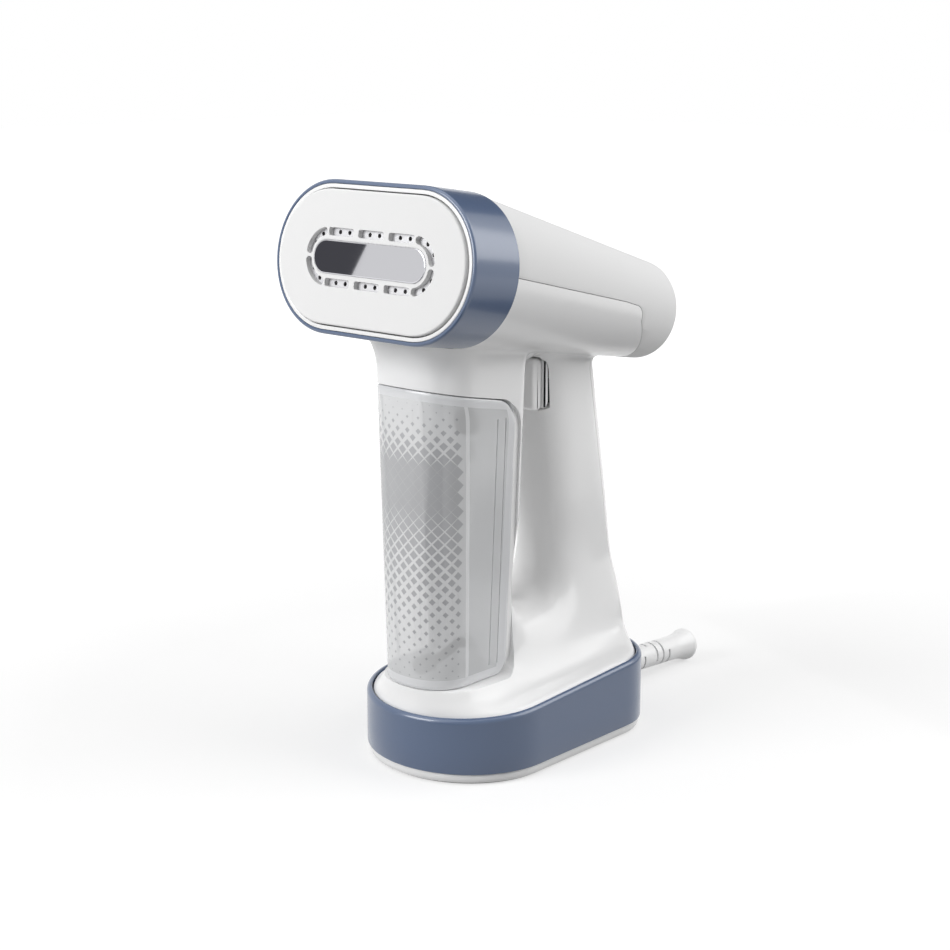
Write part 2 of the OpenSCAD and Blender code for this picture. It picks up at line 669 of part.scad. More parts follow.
module chamber_screws() color("#8E8E90")
    for (p = chamber_screw_xy) union() {
        head_rod(p[0], p[1], cover_s - 3.6, sensor_s + 0.2, 1.15);
        head_rod(p[0], p[1], sensor_s, sensor_s + 1.8, 2.6);
    }

module heating_element() color("#8A8A8C") heater_path(heater_r);

// Where the terminals leave the rod
terminal_x = 3 - heater_end;

// A post from the rod out through the cover, in a ceramic bead
module heater_terminals() color("#E8E2D0")
    for (row = [-1, 1]) {
        head_rod(terminal_x, row * heater_row, heater_s + heater_r, sensor_s + 6, 1.3);
        head_rod(terminal_x, row * heater_row, sensor_s, sensor_s + 3, 3);
    }

module steam_inlet() color("#B9B9BB") difference() {
    union() {
        head_rod(0, 0, cover_s + 0.2, sensor_s + 1, 3);
        head_rod(0, 0, sensor_s, sensor_s + 2, 4.4);
        head_rod(0, 0, sensor_s + 1.9, sensor_s + 8, hose_r + 1.2);
    }
    head_rod(0, 0, cover_s - 1, sensor_s + 9, 1.5);
    head_rod(0, 0, sensor_s + 3, sensor_s + 9, hose_r + 0.1);
}

module thermostat() color("#3C3C3E") {
    head_rod(-9, lead_h, sensor_s, sensor_s + 5, 7.4);
    for (x = lead_xs) head_rod(x, lead_h, sensor_s + 4.8, sensor_s + 8, lead_r);
}

module thermal_fuse() color("#D9C9A0")
    in_head() translate([12, 10, -sensor_s - 2.3]) rotate([0, 90, 0]) cylinder(h = 14, r = 2.2, $fn = 24);

module heat_shield() color("#BFC0C2") difference() {
    head_slab(ring_depth + 3.2, ring_depth + 4, stadium(barrel_hw(ring_depth + 4) - shell - 2 * gap,
        barrel_hh(ring_depth + 4) - shell - 2 * gap));
    head_rod(0, 0, ring_depth, ring_depth + 6, hose_r + 2);
    for (x = lead_xs) head_rod(x, lead_h, ring_depth, ring_depth + 6, lead_r + 0.5);
}

// ---------- pump and water path ----------

module pump() color("#2F3A4A") translate([0, pump_y, 0]) difference() {
    union() {
        translate([0, 0, pump_z]) cylinder(h = pump_h, r = pump_r, $fn = 48);
        translate([0, 0, pump_z - 8]) cylinder(h = 8.2, r = 7, $fn = 32);
        translate([0, 0, pump_z + pump_h - 0.2]) cylinder(h = 10, r = 6, $fn = 32);
    }
    translate([0, 0, pump_z + 2]) cylinder(h = pump_h - 4, r = plunger_r + 0.1, $fn = 32);
    translate([0, 0, pump_z - 9]) cylinder(h = 12, r = 1.5, $fn = 24);
    translate([0, 0, pump_z + pump_h - 3]) cylinder(h = 14, r = 1.5, $fn = 24);
    translate([0, 0, pump_z - 9]) cylinder(h = 5, r = hose_r + 0.1, $fn = 24);
    translate([0, 0, pump_z + pump_h + 5.8]) cylinder(h = 5, r = hose_r + 0.1, $fn = 24);
}

clamp_half = grip_half(pump_z + pump_h / 2 + 5) - shell - gap;
module pump_clamp() color("#D0D0D0") translate([0, pump_y, pump_z + pump_h / 2 - 5]) difference() {
    union() {
        cylinder(h = 10, r = pump_r + 1.4, $fn = 48);
        translate([-clamp_half, -4, 0]) cube([2 * clamp_half, 8, 10]);
    }
    translate([0, 0, -1]) cylinder(h = 12, r = pump_r + 0.1, $fn = 48);
}

plunger_z = pump_z + 7;
plunger_h = 18;
spring_z = plunger_z + plunger_h + 0.8;
spring_end = pump_z + pump_h - 2;
module pump_plunger() color("#B0B0B4")
    translate([0, pump_y, plunger_z]) cylinder(h = plunger_h, r = plunger_r, $fn = 32);

module pump_spring() color("#C8C8CC")
    translate([0, pump_y, spring_z]) coil(3.4, 0.45, (spring_end - spring_z - 0.7) / 4, 4);

// Route of the hose from the tank's socket to the pump, in Y and Z
inlet_route = [[-7, outlet_z], [6, outlet_z], [24, outlet_z + 1], [38, outlet_z + 6], [46, 78], [pump_y, 88], [pump_y, pump_z - 4.2]];
module inlet_hose() color("#E4E4E4") side_tube(0, spline(inlet_route), hose_r);

// Route of the hose from the pump to the steam head
outlet_route = [[pump_y, pump_z + pump_h + 6], [pump_y, 152], [48, 175], [47, 198], [40, 219], [22, 236],
    [-10, 249], [-40, 256.6]];
head_axis = [cos(head_tilt), -sin(head_tilt)];
function on_axis(s) = [-face_y, face_z] + s * head_axis;
module outlet_hose() color("#E4E4E4")
    side_tube(0, spline(concat(outlet_route, [on_axis(40), on_axis(sensor_s + 3.2)])), hose_r);

module tank_socket() color("#D5D5D5") translate([0, 2.9 - tank_back_y, outlet_z]) rotate([-90, 0, 0]) difference() {
    union() {
        cylinder(h = 2, r = 8.5, $fn = 40);
        cylinder(h = 12, r = 7, $fn = 40);
        translate([0, 0, 11.8]) cylinder(h = 6, r = hose_r + 1.4, $fn = 32);
    }
    translate([0, 0, -1]) cylinder(h = 9, r = spigot_r + 0.5, $fn = 32);
    translate([0, 0, 1.2]) cylinder(h = 1.9, r = 5.4, $fn = 32);
    cylinder(h = 20, r = 1.5, $fn = 24);
    translate([0, 0, 13]) cylinder(h = 6, r = hose_r + 0.1, $fn = 24);
}

module socket_seal() color("#39393B") translate([0, 2.9 - tank_back_y + 2.15, outlet_z]) rotate([-90, 0, 0])
    rotate_extrude($fn = 48) translate([4.52, 0]) circle(r = 0.82, $fn = 20);

// ---------- electrics ----------

module control_board() color("#2E6B3E") difference() {
    translate([-board_w / 2, board_y - board_l / 2, board_z]) cube([board_w, board_l, 1.6]);
    for (p = post_xy) translate([p[0], p[1] + board_y, board_z - 1]) cylinder(h = 4, r = 1.4, $fn = 24);
}

module board_parts() color("#26262A") translate([0, board_y, board_z + 1.6]) {
    translate([-20, -22, 0]) cube([19, 15, 12]);
    translate([4, -24, 0]) cube([12, 5, 14]);
    translate([10, -6, 0]) cylinder(h = 13, r = 5, $fn = 32);
    translate([-12, 4, 0]) cylinder(h = 10, r = 4, $fn = 32);
    translate([-5, 16, 0]) cube([18, 9, 7]);
}

module board_screws() color("#A4A4A6")
    for (p = post_xy) translate([p[0], p[1] + board_y, board_z]) {
        translate([0, 0, 1.6]) cylinder(h = 1.5, r = 2.4, $fn = 24);
        translate([0, 0, -4.5]) cylinder(h = 6.4, r = 0.95, $fn = 24);
    }

module terminal_block() color("#E9E4D4") translate([0, 47, pad_t + floor_t]) difference() {
    translate([-14, -6, 0]) cube([28, 12, 13]);
    for (x = [-9, 0, 9]) translate([x, -7, 7]) rotate([-90, 0, 0]) cylinder(h = 14, r = 1.7, $fn = 24);
}

// Route of the heater leads from the board to the thermostat, in Y and Z
lead_route = [[board_y + 33, board_z + 3], [board_y + 35, board_z + 12], [36, 42], [54, 80], [pump_y + 14.3, 104], [pump_y + 14.3, 125], [55.6, 152],
    [49.4, 190], [44, 212], [32, 230], [2, 248], [-30, 260]];
module heater_leads() color("#B5483C")
    for (x = lead_xs)
        side_tube(x, spline(concat(lead_route, [for (s = [ring_depth + 12, sensor_s + 8.2])
            on_axis(s) + lead_h * [sin(head_tilt), cos(head_tilt)]]), 3), lead_r, 8);

switch_route = [[switch_y + 6.7, switch_low - 0.1], [switch_y + 6.7, switch_low - 8], [28.8, 162], [29.4, 140], [31.6, 112], [33, 92], [30, 60], [25, 34], [board_y + 30, board_z + 3]];
module switch_leads() color("#55555A")
    for (x = switch_xs) side_tube(x, spline(switch_route, 3), 0.9, 8);

module cord_clamp() color("#D8D8D8") translate([0, 62, pad_t + floor_t]) difference() {
    translate([-13, -4, 0]) cube([26, 8, guard_z + 5 - pad_t - floor_t]);
    translate([0, -5, guard_z + 1 - pad_t - floor_t]) rotate([-90, 0, 0]) cylinder(h = 10, r = cord_r, $fn = 32);
}

module cord_guard() color("#F0F0F0") in_guard() difference() {
    union() {
        translate([0, 0, -7]) cylinder(h = guard_len - 7, r = guard_r, $fn = 64);
        translate([0, 0, -6.8]) cylinder(h = 3, r = guard_r + 2.6, $fn = 64);
        rotate_extrude($fn = 64) polygon(concat([[0, guard_len - 16]],
            [for (i = [0:8]) [guard_r - 0.05 + (bell_r - guard_r + 0.05) * pow(i / 8, 2), guard_len - 16 + 13.6 * i / 8]],
            arc(bell_r - 1.1, guard_len - 1.1, 1.1, 0, 90, 5), [[0, guard_len]]));
    }
    translate([0, 0, -10]) cylinder(h = guard_len + 20, r = cord_r, $fn = 48);
    for (i = [0:guard_slots - 1]) rotate([0, 0, 90 * (i % 4)])
        translate([-12, -12, 3 + i * guard_pitch]) cube([24, 14.6, 1.5]);
}

// ---------- trigger and switch ----------

module micro_switch() color("#222226") difference() {
    translate([-10, switch_y + 2, switch_low]) cube([20, 9.5, 11]);
    translate([0, switch_y + 1, switch_z]) rotate([-90, 0, 0]) cylinder(h = 7, r = 1.3, $fn = 24);
}

// A shelf under the switch with a wall behind it, from side to side of the handle
module switch_bracket() color("#D8D8D8") difference() {
    union() {
        translate([0, 0, switch_low - 2 - fit]) linear_extrude(2) intersection() {
            polygon(grip_plan(switch_low, shell + gap));
            translate([-half_w, switch_y + 2.4]) square([base_w, 11.6]);
        }
        translate([-9, switch_y + 11.5 + fit, switch_low - 0.2 - fit]) cube([18, 2, 9]);
    }
    for (x = switch_xs) translate([x, switch_route[0][0], switch_low - 5]) cylinder(h = 6, r = 1.2, $fn = 24);
}

module switch_button() color("#C23B30") translate([0, pin_y - 1.6, switch_z]) rotate([-90, 0, 0])
    cylinder(h = switch_y + 5 - pin_y + 1.2, r = 1.2, $fn = 24);

// Seen from the side: a pad with rounded corners and an eye for the pin
module trigger() color("#EDEDED") difference() {
    side_slab(trigger_w / 2, concat(
        arc(grip_front_high - trigger_proud + 5, trigger_low + 5, 5, 180, 270, 8),
        arc(pin_y - 5, trigger_low + 3, 3, 270, 360, 6), [[pin_y - 2, pin_z - 3.4]],
        arc(pin_y, pin_z, 3.2, -60, 90, 8),
        arc(grip_front_high - trigger_proud + 5, trigger_top - 5, 5, 90, 180, 8)));
    translate([0, pin_y, pin_z]) rotate([0, 90, 0]) {
        cylinder(h = 2 * trigger_w, r = pin_r + 0.06, center = true, $fn = 32);
        cylinder(h = 4.4, r = pin_r + 2, center = true, $fn = 32);
    }
}

module trigger_pin() color("#9C9CA0")
    translate([0, pin_y, pin_z]) rotate([0, 90, 0]) cylinder(h = 2 * pin_half, r = pin_r, center = true, $fn = 32);

module trigger_spring() color("#BDBDC1") translate([-1.2, pin_y, pin_z]) rotate([0, 90, 0])
    coil(pin_r + 0.65, 0.3, 0.8, 3);

// ---------- tank ----------

module tank_form(inset, low, high, back)
    intersection() {
        hull() for (z = [shelf_z - 2, seam_z + 2]) plate_at(z, col_plan(z, inset, 20));
        tank_side(low, high, back, max(tank_r_low - inset, 2), max(tank_r_top - inset, 2));
    }

module tank_shell() color("#C8CCD0", 0.5) difference() {
    tank_form(0, seat_z, 0.5, -tank_back_y);
    tank_form(tank_wall, seat_z + tank_cap, 0.5 + tank_cap, -tank_back_y - 3.2);
    tank_form(tank_wall + 1.2, seat_z + tank_cap + 1.2, 1.7 + tank_cap, 1 - tank_back_y);
}

module tank_back() color("#D4D6D8") difference() {
    union() {
        intersection() {
            tank_form(tank_wall + 1.35, seat_z + tank_cap + 1.35, 1.85 + tank_cap, -tank_back_y);
            translate([-half_w, -tank_back_y - 3, 0]) cube([base_w, 3, face_z]);
        }
        translate([0, spigot_end, outlet_z]) rotate([90, 0, 0]) cylinder(h = spigot_end + tank_back_y + 2, r = spigot_r, $fn = 32);
        translate([0, -tank_back_y - 2, outlet_z]) rotate([90, 0, 0]) cylinder(h = 6, r = 3.6, $fn = 32);
        translate([0, -tank_back_y - 2, plug_z - 15]) rotate([90, 0, 0]) cylinder(h = 5, r = 4, $fn = 32);
    }
    translate([0, spigot_end + 1, outlet_z]) rotate([90, 0, 0]) cylinder(h = 30, r = 1.6, $fn = 24);
    translate([0, spigot_end + 1, outlet_z]) rotate([90, 0, 0]) cylinder(h = 4, r = 2.4, $fn = 24);
    translate([0, -tank_back_y - 6.4, outlet_z]) rotate([90, 0, 0]) cylinder(h = 3, r = 2.55, $fn = 24);
    translate([0, 1 - tank_back_y, plug_z]) rotate([90, 0, 0]) cylinder(h = 6, r = 6.1, $fn = 40);
}

module fill_plug() color("#55565A") translate([0, -tank_back_y - 0.2, plug_z]) rotate([90, 0, 0]) {
    cylinder(h = 5.5, r = 6, $fn = 40);
    translate([0, 0, 5.3]) cylinder(h = 1.6, r = 6.6, $fn = 40);
}

// Rubber check valve inside the outlet
module outlet_valve() color("#55565A") translate([0, spigot_end - 0.2, outlet_z]) rotate([90, 0, 0]) difference() {
    cylinder(h = 2.7, r = 2.35, $fn = 24);
    translate([0, 0, -1]) cylinder(h = 5, r = 0.8, $fn = 24);
}

suction_route = [[-tank_back_y - 6.6, outlet_z], [-tank_back_y - 12, outlet_z], [-tank_back_y - 22, outlet_z - 3.4], [-tank_back_y - 30, seat_z + tank_cap + 5]];
module suction_hose() color("#4E4E50") side_tube(0, spline(suction_route, 5), 2.5);

module suction_filter() color("#454547") translate([0, -tank_back_y - 30.7, seat_z + tank_cap + 4.9]) rotate([90, 0, 0]) {
    cylinder(h = 2.2, r = 3.4, $fn = 32);
    translate([0, 0, 2]) cylinder(h = 8.5, r = 4.6, $fn = 32);
}

foot_pad();
base_plate();
base_band();
main_housing();
rear_cover();
barrel_cover();
head_ring();
plate_frame();
plate_gasket();
steam_plate();
jet_plate();
center_badge();
steam_chamber();
chamber_cover();
heating_element();
heater_terminals();
chamber_screws();
steam_inlet();
thermostat();
thermal_fuse();
heat_shield();
pump();
pump_clamp();
pump_plunger();
pump_spring();
inlet_hose();
outlet_hose();
tank_socket();
socket_seal();
control_board();
board_parts();
board_screws();
terminal_block();
heater_leads();
switch_leads();
cord_guard();
cord_clamp();
base_screws();
micro_switch();
switch_bracket();
switch_button();
trigger();
trigger_pin();
trigger_spring();
tank_shell();
tank_back();
suction_hose();
suction_filter();
outlet_valve();
fill_plug();
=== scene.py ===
"""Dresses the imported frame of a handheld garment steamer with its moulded, metal and clear pieces."""

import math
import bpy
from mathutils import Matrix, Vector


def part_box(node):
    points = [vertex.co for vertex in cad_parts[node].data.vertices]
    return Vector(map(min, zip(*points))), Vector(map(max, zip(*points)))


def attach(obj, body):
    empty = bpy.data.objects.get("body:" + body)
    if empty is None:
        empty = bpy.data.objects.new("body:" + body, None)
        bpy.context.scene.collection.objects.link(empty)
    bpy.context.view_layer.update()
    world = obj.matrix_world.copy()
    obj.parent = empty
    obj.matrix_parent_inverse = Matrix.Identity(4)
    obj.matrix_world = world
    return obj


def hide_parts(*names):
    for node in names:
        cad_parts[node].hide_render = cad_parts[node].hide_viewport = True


bl_info = {
    "name": "Garment Steamer",
    "version": (1, 0, 0),
    "blender": (4, 5, 0),
    "location": "View3D > Sidebar > Steamer",
    "description": "Builds the visible pieces of a handheld garment steamer over its frame",
    "category": "Add Mesh",
}

from types import SimpleNamespace

import bmesh
import bpy
from bpy.props import FloatProperty, FloatVectorProperty, PointerProperty
from mathutils import Matrix, Vector

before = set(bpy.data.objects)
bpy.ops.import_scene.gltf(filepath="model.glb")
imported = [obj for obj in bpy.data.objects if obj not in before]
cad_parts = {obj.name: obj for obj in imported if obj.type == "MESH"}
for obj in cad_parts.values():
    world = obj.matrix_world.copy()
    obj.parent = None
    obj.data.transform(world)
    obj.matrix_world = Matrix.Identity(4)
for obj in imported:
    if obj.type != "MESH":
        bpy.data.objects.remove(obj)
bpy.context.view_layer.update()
MM = 0.001
# half the width in millimetres of a tool that cuts from side to side
ACROSS = 70


def linear(code):
    """An sRGB hex colour as linear red, green and blue."""
    channels = [int(code[i : i + 2], 16) / 255 for i in (1, 3, 5)]
    return [c / 12.92 if c <= 0.04045 else ((c + 0.055) / 1.055) ** 2.4 for c in channels]


def node_box(node):
    """A node's lowest and highest corner in millimetres."""
    low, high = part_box(node)
    return Vector(low) / MM, Vector(high) / MM


# ---------- sizes and colours ----------


def length(name, description, default):
    return FloatProperty(name=name, description=description, default=default * MM, min=0, subtype="DISTANCE", unit="LENGTH")


def angle(name, description, default):
    return FloatProperty(name=name, description=description, default=math.radians(default), subtype="ANGLE", unit="ROTATION")


def tint(name, description, default):
    colour = linear(default)
    return FloatVectorProperty(name=name, description=description, default=colour, min=0, max=1, size=3, subtype="COLOR")


class SteamerSizes(bpy.types.PropertyGroup):
    """Sizes of the moulded shells that the frame's boxes do not give"""

    head_tilt: angle("Head tilt", "Upward tilt of the steam face", 8.55)
    face_height: length("Face height", "Height of the face of the head", 75)
    ring_depth: length("Ring depth", "Depth of the coloured head ring", 31)
    ring_wall: length("Ring wall", "Wall of the head ring", 2)
    rim_width: length("Rim width", "White rim round the steam plate", 2)
    plate_gap: length("Plate gap", "Gap between the rim and the plate", 0.6)
    plate_proud: length("Plate height", "How far the steam plate stands out of the ring", 1.6)
    barrel_length: length("Barrel length", "From the face of the head to the rear end", 185)
    rear_drop: length("Rear drop", "How far the barrel's rear end hangs under the line of its top", 2)
    cover_knee: length("Cover knee", "From the face of the head to where the cover's edge turns down", 148)
    rear_width: length("Rear width", "Width of the barrel's rear end", 100)
    rear_height: length("Rear height", "Height of the barrel's rear end", 52)
    wall: length("Wall", "Wall of the moulded shells", 2.4)
    band_rise: FloatProperty(
        name="Band rise", description="Rise of the band's edge towards the tail", default=0.057, min=0, max=0.2
    )
    base_nose: length("Base nose", "How far the rounded nose of the base reaches", 49)
    base_tail: length("Base tail", "How far the rounded tail of the base reaches", 37)
    column_low: length("Column width below", "Width of the column under the tank", 48)
    column_high: length("Column width above", "Width of the column over the tank", 61.6)
    column_nose: length("Column nose", "Depth of the column's rounded front", 21)
    grip_low: length("Handle width below", "Width of the handle 100 mm up", 43)
    grip_high: length("Handle width above", "Width of the handle 190 mm up", 37)
    groove: length("Groove", "Width of the groove behind the tank", 4.3)
    strip: length("Strip depth", "Depth of the handle's rear cover", 10)
    part_line: length("Parting gap", "Shadow gap between two mouldings", 0.3)
    lattice: length("Lattice pitch", "Height of one diamond of the tank's lattice", 6.7)


class SteamerColours(bpy.types.PropertyGroup):
    """Colours of the finishes"""

    gloss: tint("Gloss white", "Polished white ABS", "#F1F1F1")
    matt: tint("Matt white", "Fine-grained white ABS", "#EDEDED")
    blue: tint("Slate blue", "Satin slate blue ABS", "#4A5D7C")
    plate: tint("Plate", "Bead-blasted anodised aluminium", "#DEDDE2")
    chrome: tint("Badge", "Chrome-plated ABS", "#C9C9CD")
    tank: tint("Tank", "Clear polycarbonate with a haze", "#F1F2F3")
    print_grey: tint("Lattice", "Grey screen print on the tank", "#AEAFB1")
    rubber: tint("Rubber", "Dark grey rubber", "#3A3A3C")
    guard: tint("Cord guard", "White soft PVC", "#FBFBFB")


def sizes(context):
    """The panel's sizes in millimetres, its angles in radians, and what the frame's boxes give."""
    group = context.scene.steamer_sizes
    s = SimpleNamespace()
    for key in SteamerSizes.__annotations__:
        scale = MM if group.bl_rna.properties[key].subtype == "DISTANCE" else 1
        setattr(s, key, getattr(group, key) / scale)
    band, ring, jets, tank = (node_box(node) for node in ("base_band", "head_ring", "jet_plate", "tank_shell"))
    s.half_l, s.half_w = band[1].y, band[1].x
    s.band_z, s.band_top = band[0].z, band[1].z - 2 * s.half_l * s.band_rise
    s.face_hw, s.face_hh = ring[1].x, s.face_height / 2
    play = 0.15
    s.rim_hw, s.rim_hh = s.face_hw - s.ring_wall - play, s.face_hh - s.ring_wall - play
    inset = s.rim_width + s.plate_gap
    s.plate_hw, s.plate_hh = s.rim_hw - inset, s.rim_hh - inset
    # the head's axes start in the face of the ring, which lies in front of the jet plate
    out, face_over_jets = Vector((0, -math.cos(s.head_tilt), math.sin(s.head_tilt))), 1.85
    face = (jets[0] + jets[1]) / 2 + out * face_over_jets
    s.head = Matrix.Translation(face) @ Matrix.Rotation(math.pi / 2 - s.head_tilt, 4, "X")
    s.shelf, s.col_front = tank[0].z - 0.3, -tank[0].y
    s.tank_back, s.tank_top = -tank[1].y, tank[1].z
    # the column's flat back, and how steeply the seam over the tank falls towards the tail
    s.col_back, s.seam_fall = 13.5, 0.19
    return s


# ---------- outlines, in millimetres ----------


def spread(low, high, steps):
    return [low + (high - low) * i / steps for i in range(steps + 1)]


def arc(cx, cy, r, start, end, steps=12):
    turns = spread(math.radians(start), math.radians(end), steps)
    return [Vector((cx + r * math.cos(a), cy + r * math.sin(a))) for a in turns]


def nose(cx, cy, rx, ry, start, end, fullness, steps=40):
    """A rounded end that is fuller than an ellipse."""
    def reach(part):
        return math.copysign(abs(part) ** (2 / fullness), part)

    turns = spread(math.radians(start), math.radians(end), steps)
    return [Vector((cx + rx * reach(math.cos(a)), cy + ry * reach(math.sin(a)))) for a in turns]


def quarter(steps):
    """Cosine and sine at even steps of a quarter turn, for a rounded edge."""
    return [(math.cos(a), math.sin(a)) for a in map(math.radians, spread(0, 90, steps))]


def outline_length(outline):
    return sum((b - a).length for a, b in zip(outline, outline[1:] + outline[:1]))


def even(outline, count):
    """The same closed outline through equally spaced points."""
    total = outline_length(outline)
    points, walked, target = [], 0.0, 0.0
    for a, b in zip(outline, outline[1:] + outline[:1]):
        run = (b - a).length
        while run > 0 and target <= walked + run and len(points) < count:
            points.append(a.lerp(b, (target - walked) / run))
            target = total * len(points) / count
        walked += run
    return points


def stadium(hw, hh, count=120):
    return even(arc(hw - hh, 0, hh, -90, 90, 48) + arc(hh - hw, 0, hh, 90, 270, 48), count)


def rounded_bar(hw, hh, r):
    corners = ((hw - r, r - hh, -90), (hw - r, hh - r, 0), (r - hw, hh - r, 90), (r - hw, r - hh, 180))
    return [p for x, y, start in corners for p in arc(x, y, r, start, start + 90, 6)]


def base_outline(s, inset):
    return even(
        nose(0, s.half_l - s.base_tail, s.half_w - inset, s.base_tail - inset, 0, 180, 2.2)
        + nose(0, s.base_nose - s.half_l, s.half_w - inset, s.base_nose - inset, 180, 360, 2),
        160,
    )


def band_height(s, y):
    return s.band_top + s.band_rise * (y + s.half_l)


def seam_height(s, y):
    return s.tank_top + 0.5 - s.seam_fall * (y + s.col_front)


def column_half(s, z):
    seam = s.tank_top + 0.5
    return (s.column_low + (s.column_high - s.column_low) * (z - s.shelf) / (seam - s.shelf)) / 2


def column_outline(s, z, inset, back=None, corner=8.0, count=120):
    """Plan of the column: a rounded nose in front, flat sides and a flat back with round corners."""
    w, deep = column_half(s, z) - inset, s.column_nose - inset / 2
    back = -s.col_back - inset if back is None else back
    r = min(max(corner - inset, 1.2), w - 1)
    return even(
        [Vector((0, back))] + arc(r - w, back - r, r, 90, 180, 10)
        + nose(0, deep + inset - s.col_front, w, deep, 180, 360, 2.2, 60) + arc(w - r, back - r, r, 0, 90, 10),
        count,
    )


def grip_span(s, z):
    """Front, back and half width of the handle at a height, from those at 100 and 190 mm."""
    k = (z - 100) / 90
    return 22.8 + (15 - 22.8) * k, 74.6 + (61.4 - 74.6) * k, (s.grip_low + (s.grip_high - s.grip_low) * k) / 2


def grip_outline(s, z, inset):
    front, back, half = grip_span(s, z)
    middle, half = (front + back) / 2, half - inset
    return even(
        nose(0, middle, half, back - inset - middle, 0, 180, 3.4)[:-1]
        + nose(0, middle, half, middle - front - inset, 180, 360, 2.6)[:-1],
        96,
    )


def foot_outline(s, half, front, back):
    """Plan of the foot at a half width: like the base where it is as wide, and blunter where it gathers to the handle."""
    if half > s.half_w - 12:
        nose_reach, nose_fullness = s.base_nose - s.half_w + half, 2
        tail_reach, tail_fullness = s.base_tail - s.half_w + half, 2.2
    else:
        nose_reach, nose_fullness = half * 0.9, 2.3
        tail_reach = min(half * (0.8 - 0.25 * ramp(half, 21, 27)), s.base_tail)
        tail_fullness = 2.6 if half > 32 else 3.4
    return even(
        nose(0, back - tail_reach, half, tail_reach, 0, 180, tail_fullness)
        + nose(0, front + nose_reach, half, nose_reach, 180, 360, nose_fullness),
        140,
    )


# ---------- meshes ----------


def skin(bm, rings, hoop=False):
    """Skins rings of equally many points in millimetres, closed flat at the ends or, as a hoop, onto each other."""
    place = bm.verts.layers.int.get("place") or bm.verts.layers.int.new("place")
    ring = bmesh.ops.create_circle(bm, cap_ends=False, radius=1, segments=len(rings[0]))["verts"]
    for i, vert in enumerate(ring):
        vert[place] = i
        vert.co = rings[0][i]
    first = edges = list(dict.fromkeys(edge for vert in ring for edge in vert.link_edges))
    for points in rings[1:]:
        made = bmesh.ops.extrude_edge_only(bm, edges=edges)["geom"]
        edges = [item for item in made if isinstance(item, bmesh.types.BMEdge) and item.is_boundary]
        for vert in (item for item in made if isinstance(item, bmesh.types.BMVert)):
            vert.co = points[vert[place]]
    if hoop:
        bmesh.ops.bridge_loops(bm, edges=first + edges)
    else:
        bmesh.ops.edgeloop_fill(bm, edges=first)
        bmesh.ops.edgeloop_fill(bm, edges=edges)
    return bm


def block(bm, profile, x0, x1):
    """A side profile of (y, z) points drawn from x0 to x1. x may depend on the height."""
    at = [x if callable(x) else (lambda z, x=x: x) for x in (x0, x1)]
    return skin(bm, [[Vector((x(p[1]), p[0], p[1])) for p in profile] for x in at])


def level(outline, z):
    """An outline laid at a height, which may depend on y."""
    return [Vector((p.x, p.y, z(p.y) if callable(z) else z)) for p in outline]


def add_object(name, data):
    obj = bpy.data.objects.new(name, data)
    bpy.context.scene.collection.objects.link(obj)
    return obj


def piece(name, bm, *materials, crease=32):
    """The object of a mesh that was drawn in millimetres, at the origin."""
    bmesh.ops.scale(bm, vec=(MM, MM, MM), verts=bm.verts)
    bmesh.ops.recalc_face_normals(bm, faces=bm.faces)
    mesh = bpy.data.meshes.new(name)
    bm.to_mesh(mesh)
    bm.free()
    for material in materials:
        mesh.materials.append(material)
    shade(mesh, crease)
    return add_object(name, mesh)


def shade(mesh, crease):
    mesh.shade_smooth()
    mesh.set_sharp_from_angle(angle=math.radians(crease))


def flatten(mesh, direction):
    """Shades the flat faces that look along a direction flat, so that their reflections stay straight."""
    for face in mesh.polygons:
        if face.normal.dot(direction) > 0.9999:
            face.use_smooth = False


def bake(obj):
    """Makes the object's mesh what its modifiers show."""
    bpy.context.view_layer.update()
    shown = obj.evaluated_get(bpy.context.evaluated_depsgraph_get())
    mesh = bpy.data.meshes.new_from_object(shown)
    old, obj.data = obj.data, mesh
    mesh.name = old.name
    obj.modifiers.clear()
    bpy.data.meshes.remove(old)
    return obj


def combine(obj, tool, operation="DIFFERENCE"):
    cut = obj.modifiers.new(operation, "BOOLEAN")
    cut.operation, cut.object, cut.solver = operation, tool, "MANIFOLD"
    bake(obj)
    bpy.data.objects.remove(tool)
    return obj


def remesh(obj, voxel):
    grid = obj.modifiers.new("grid", "REMESH")
    grid.mode, grid.voxel_size = "VOXEL", voxel * MM
    return bake(obj)


def relax(obj, rounds, group=""):
    soft = obj.modifiers.new("soft", "SMOOTH")
    soft.factor, soft.iterations, soft.vertex_group = 0.5, rounds, group
    return bake(obj)


def ramp(value, low, high):
    """0 below low, 1 above high, and an even curve between."""
    k = min(max((value - low) / (high - low), 0.0), 1.0)
    return k * k * (3 - 2 * k)


def relax_where(obj, weight, rounds):
    """Relaxes a mesh by a weight that depends on the place in millimetres."""
    group = obj.vertex_groups.new(name="soft")
    for vert in obj.data.vertices:
        share = weight(*(vert.co / MM))
        if share > 0.01:
            group.add([vert.index], share, "REPLACE")
    relax(obj, rounds, "soft").vertex_groups.clear()


def bevelled(obj, width, segments=3, limit=35):
    edge = obj.modifiers.new("edge", "BEVEL")
    edge.width, edge.segments, edge.limit_method, edge.angle_limit = width * MM, segments, "ANGLE", math.radians(limit)
    edge.harden_normals = False
    return bake(obj)


def tool(rings):
    """A form that only cuts others, or that is cut into one."""
    return piece("tool", skin(bmesh.new(), rings))


def cutter(profile, x0=-ACROSS, x1=ACROSS):
    """A tool from a side profile."""
    return piece("tool", block(bmesh.new(), profile, x0, x1))


# ---------- materials ----------


def add_node(tree, kind, inputs=None, **settings):
    """Adds a node, with its settings, and its inputs set to a value or linked to a socket."""
    node = tree.nodes.new(kind)
    for key, value in settings.items():
        setattr(node, key, value)
    for key, value in (inputs or {}).items():
        if isinstance(value, bpy.types.NodeSocket):
            tree.links.new(value, node.inputs[key])
        else:
            node.inputs[key].default_value = value
    return node


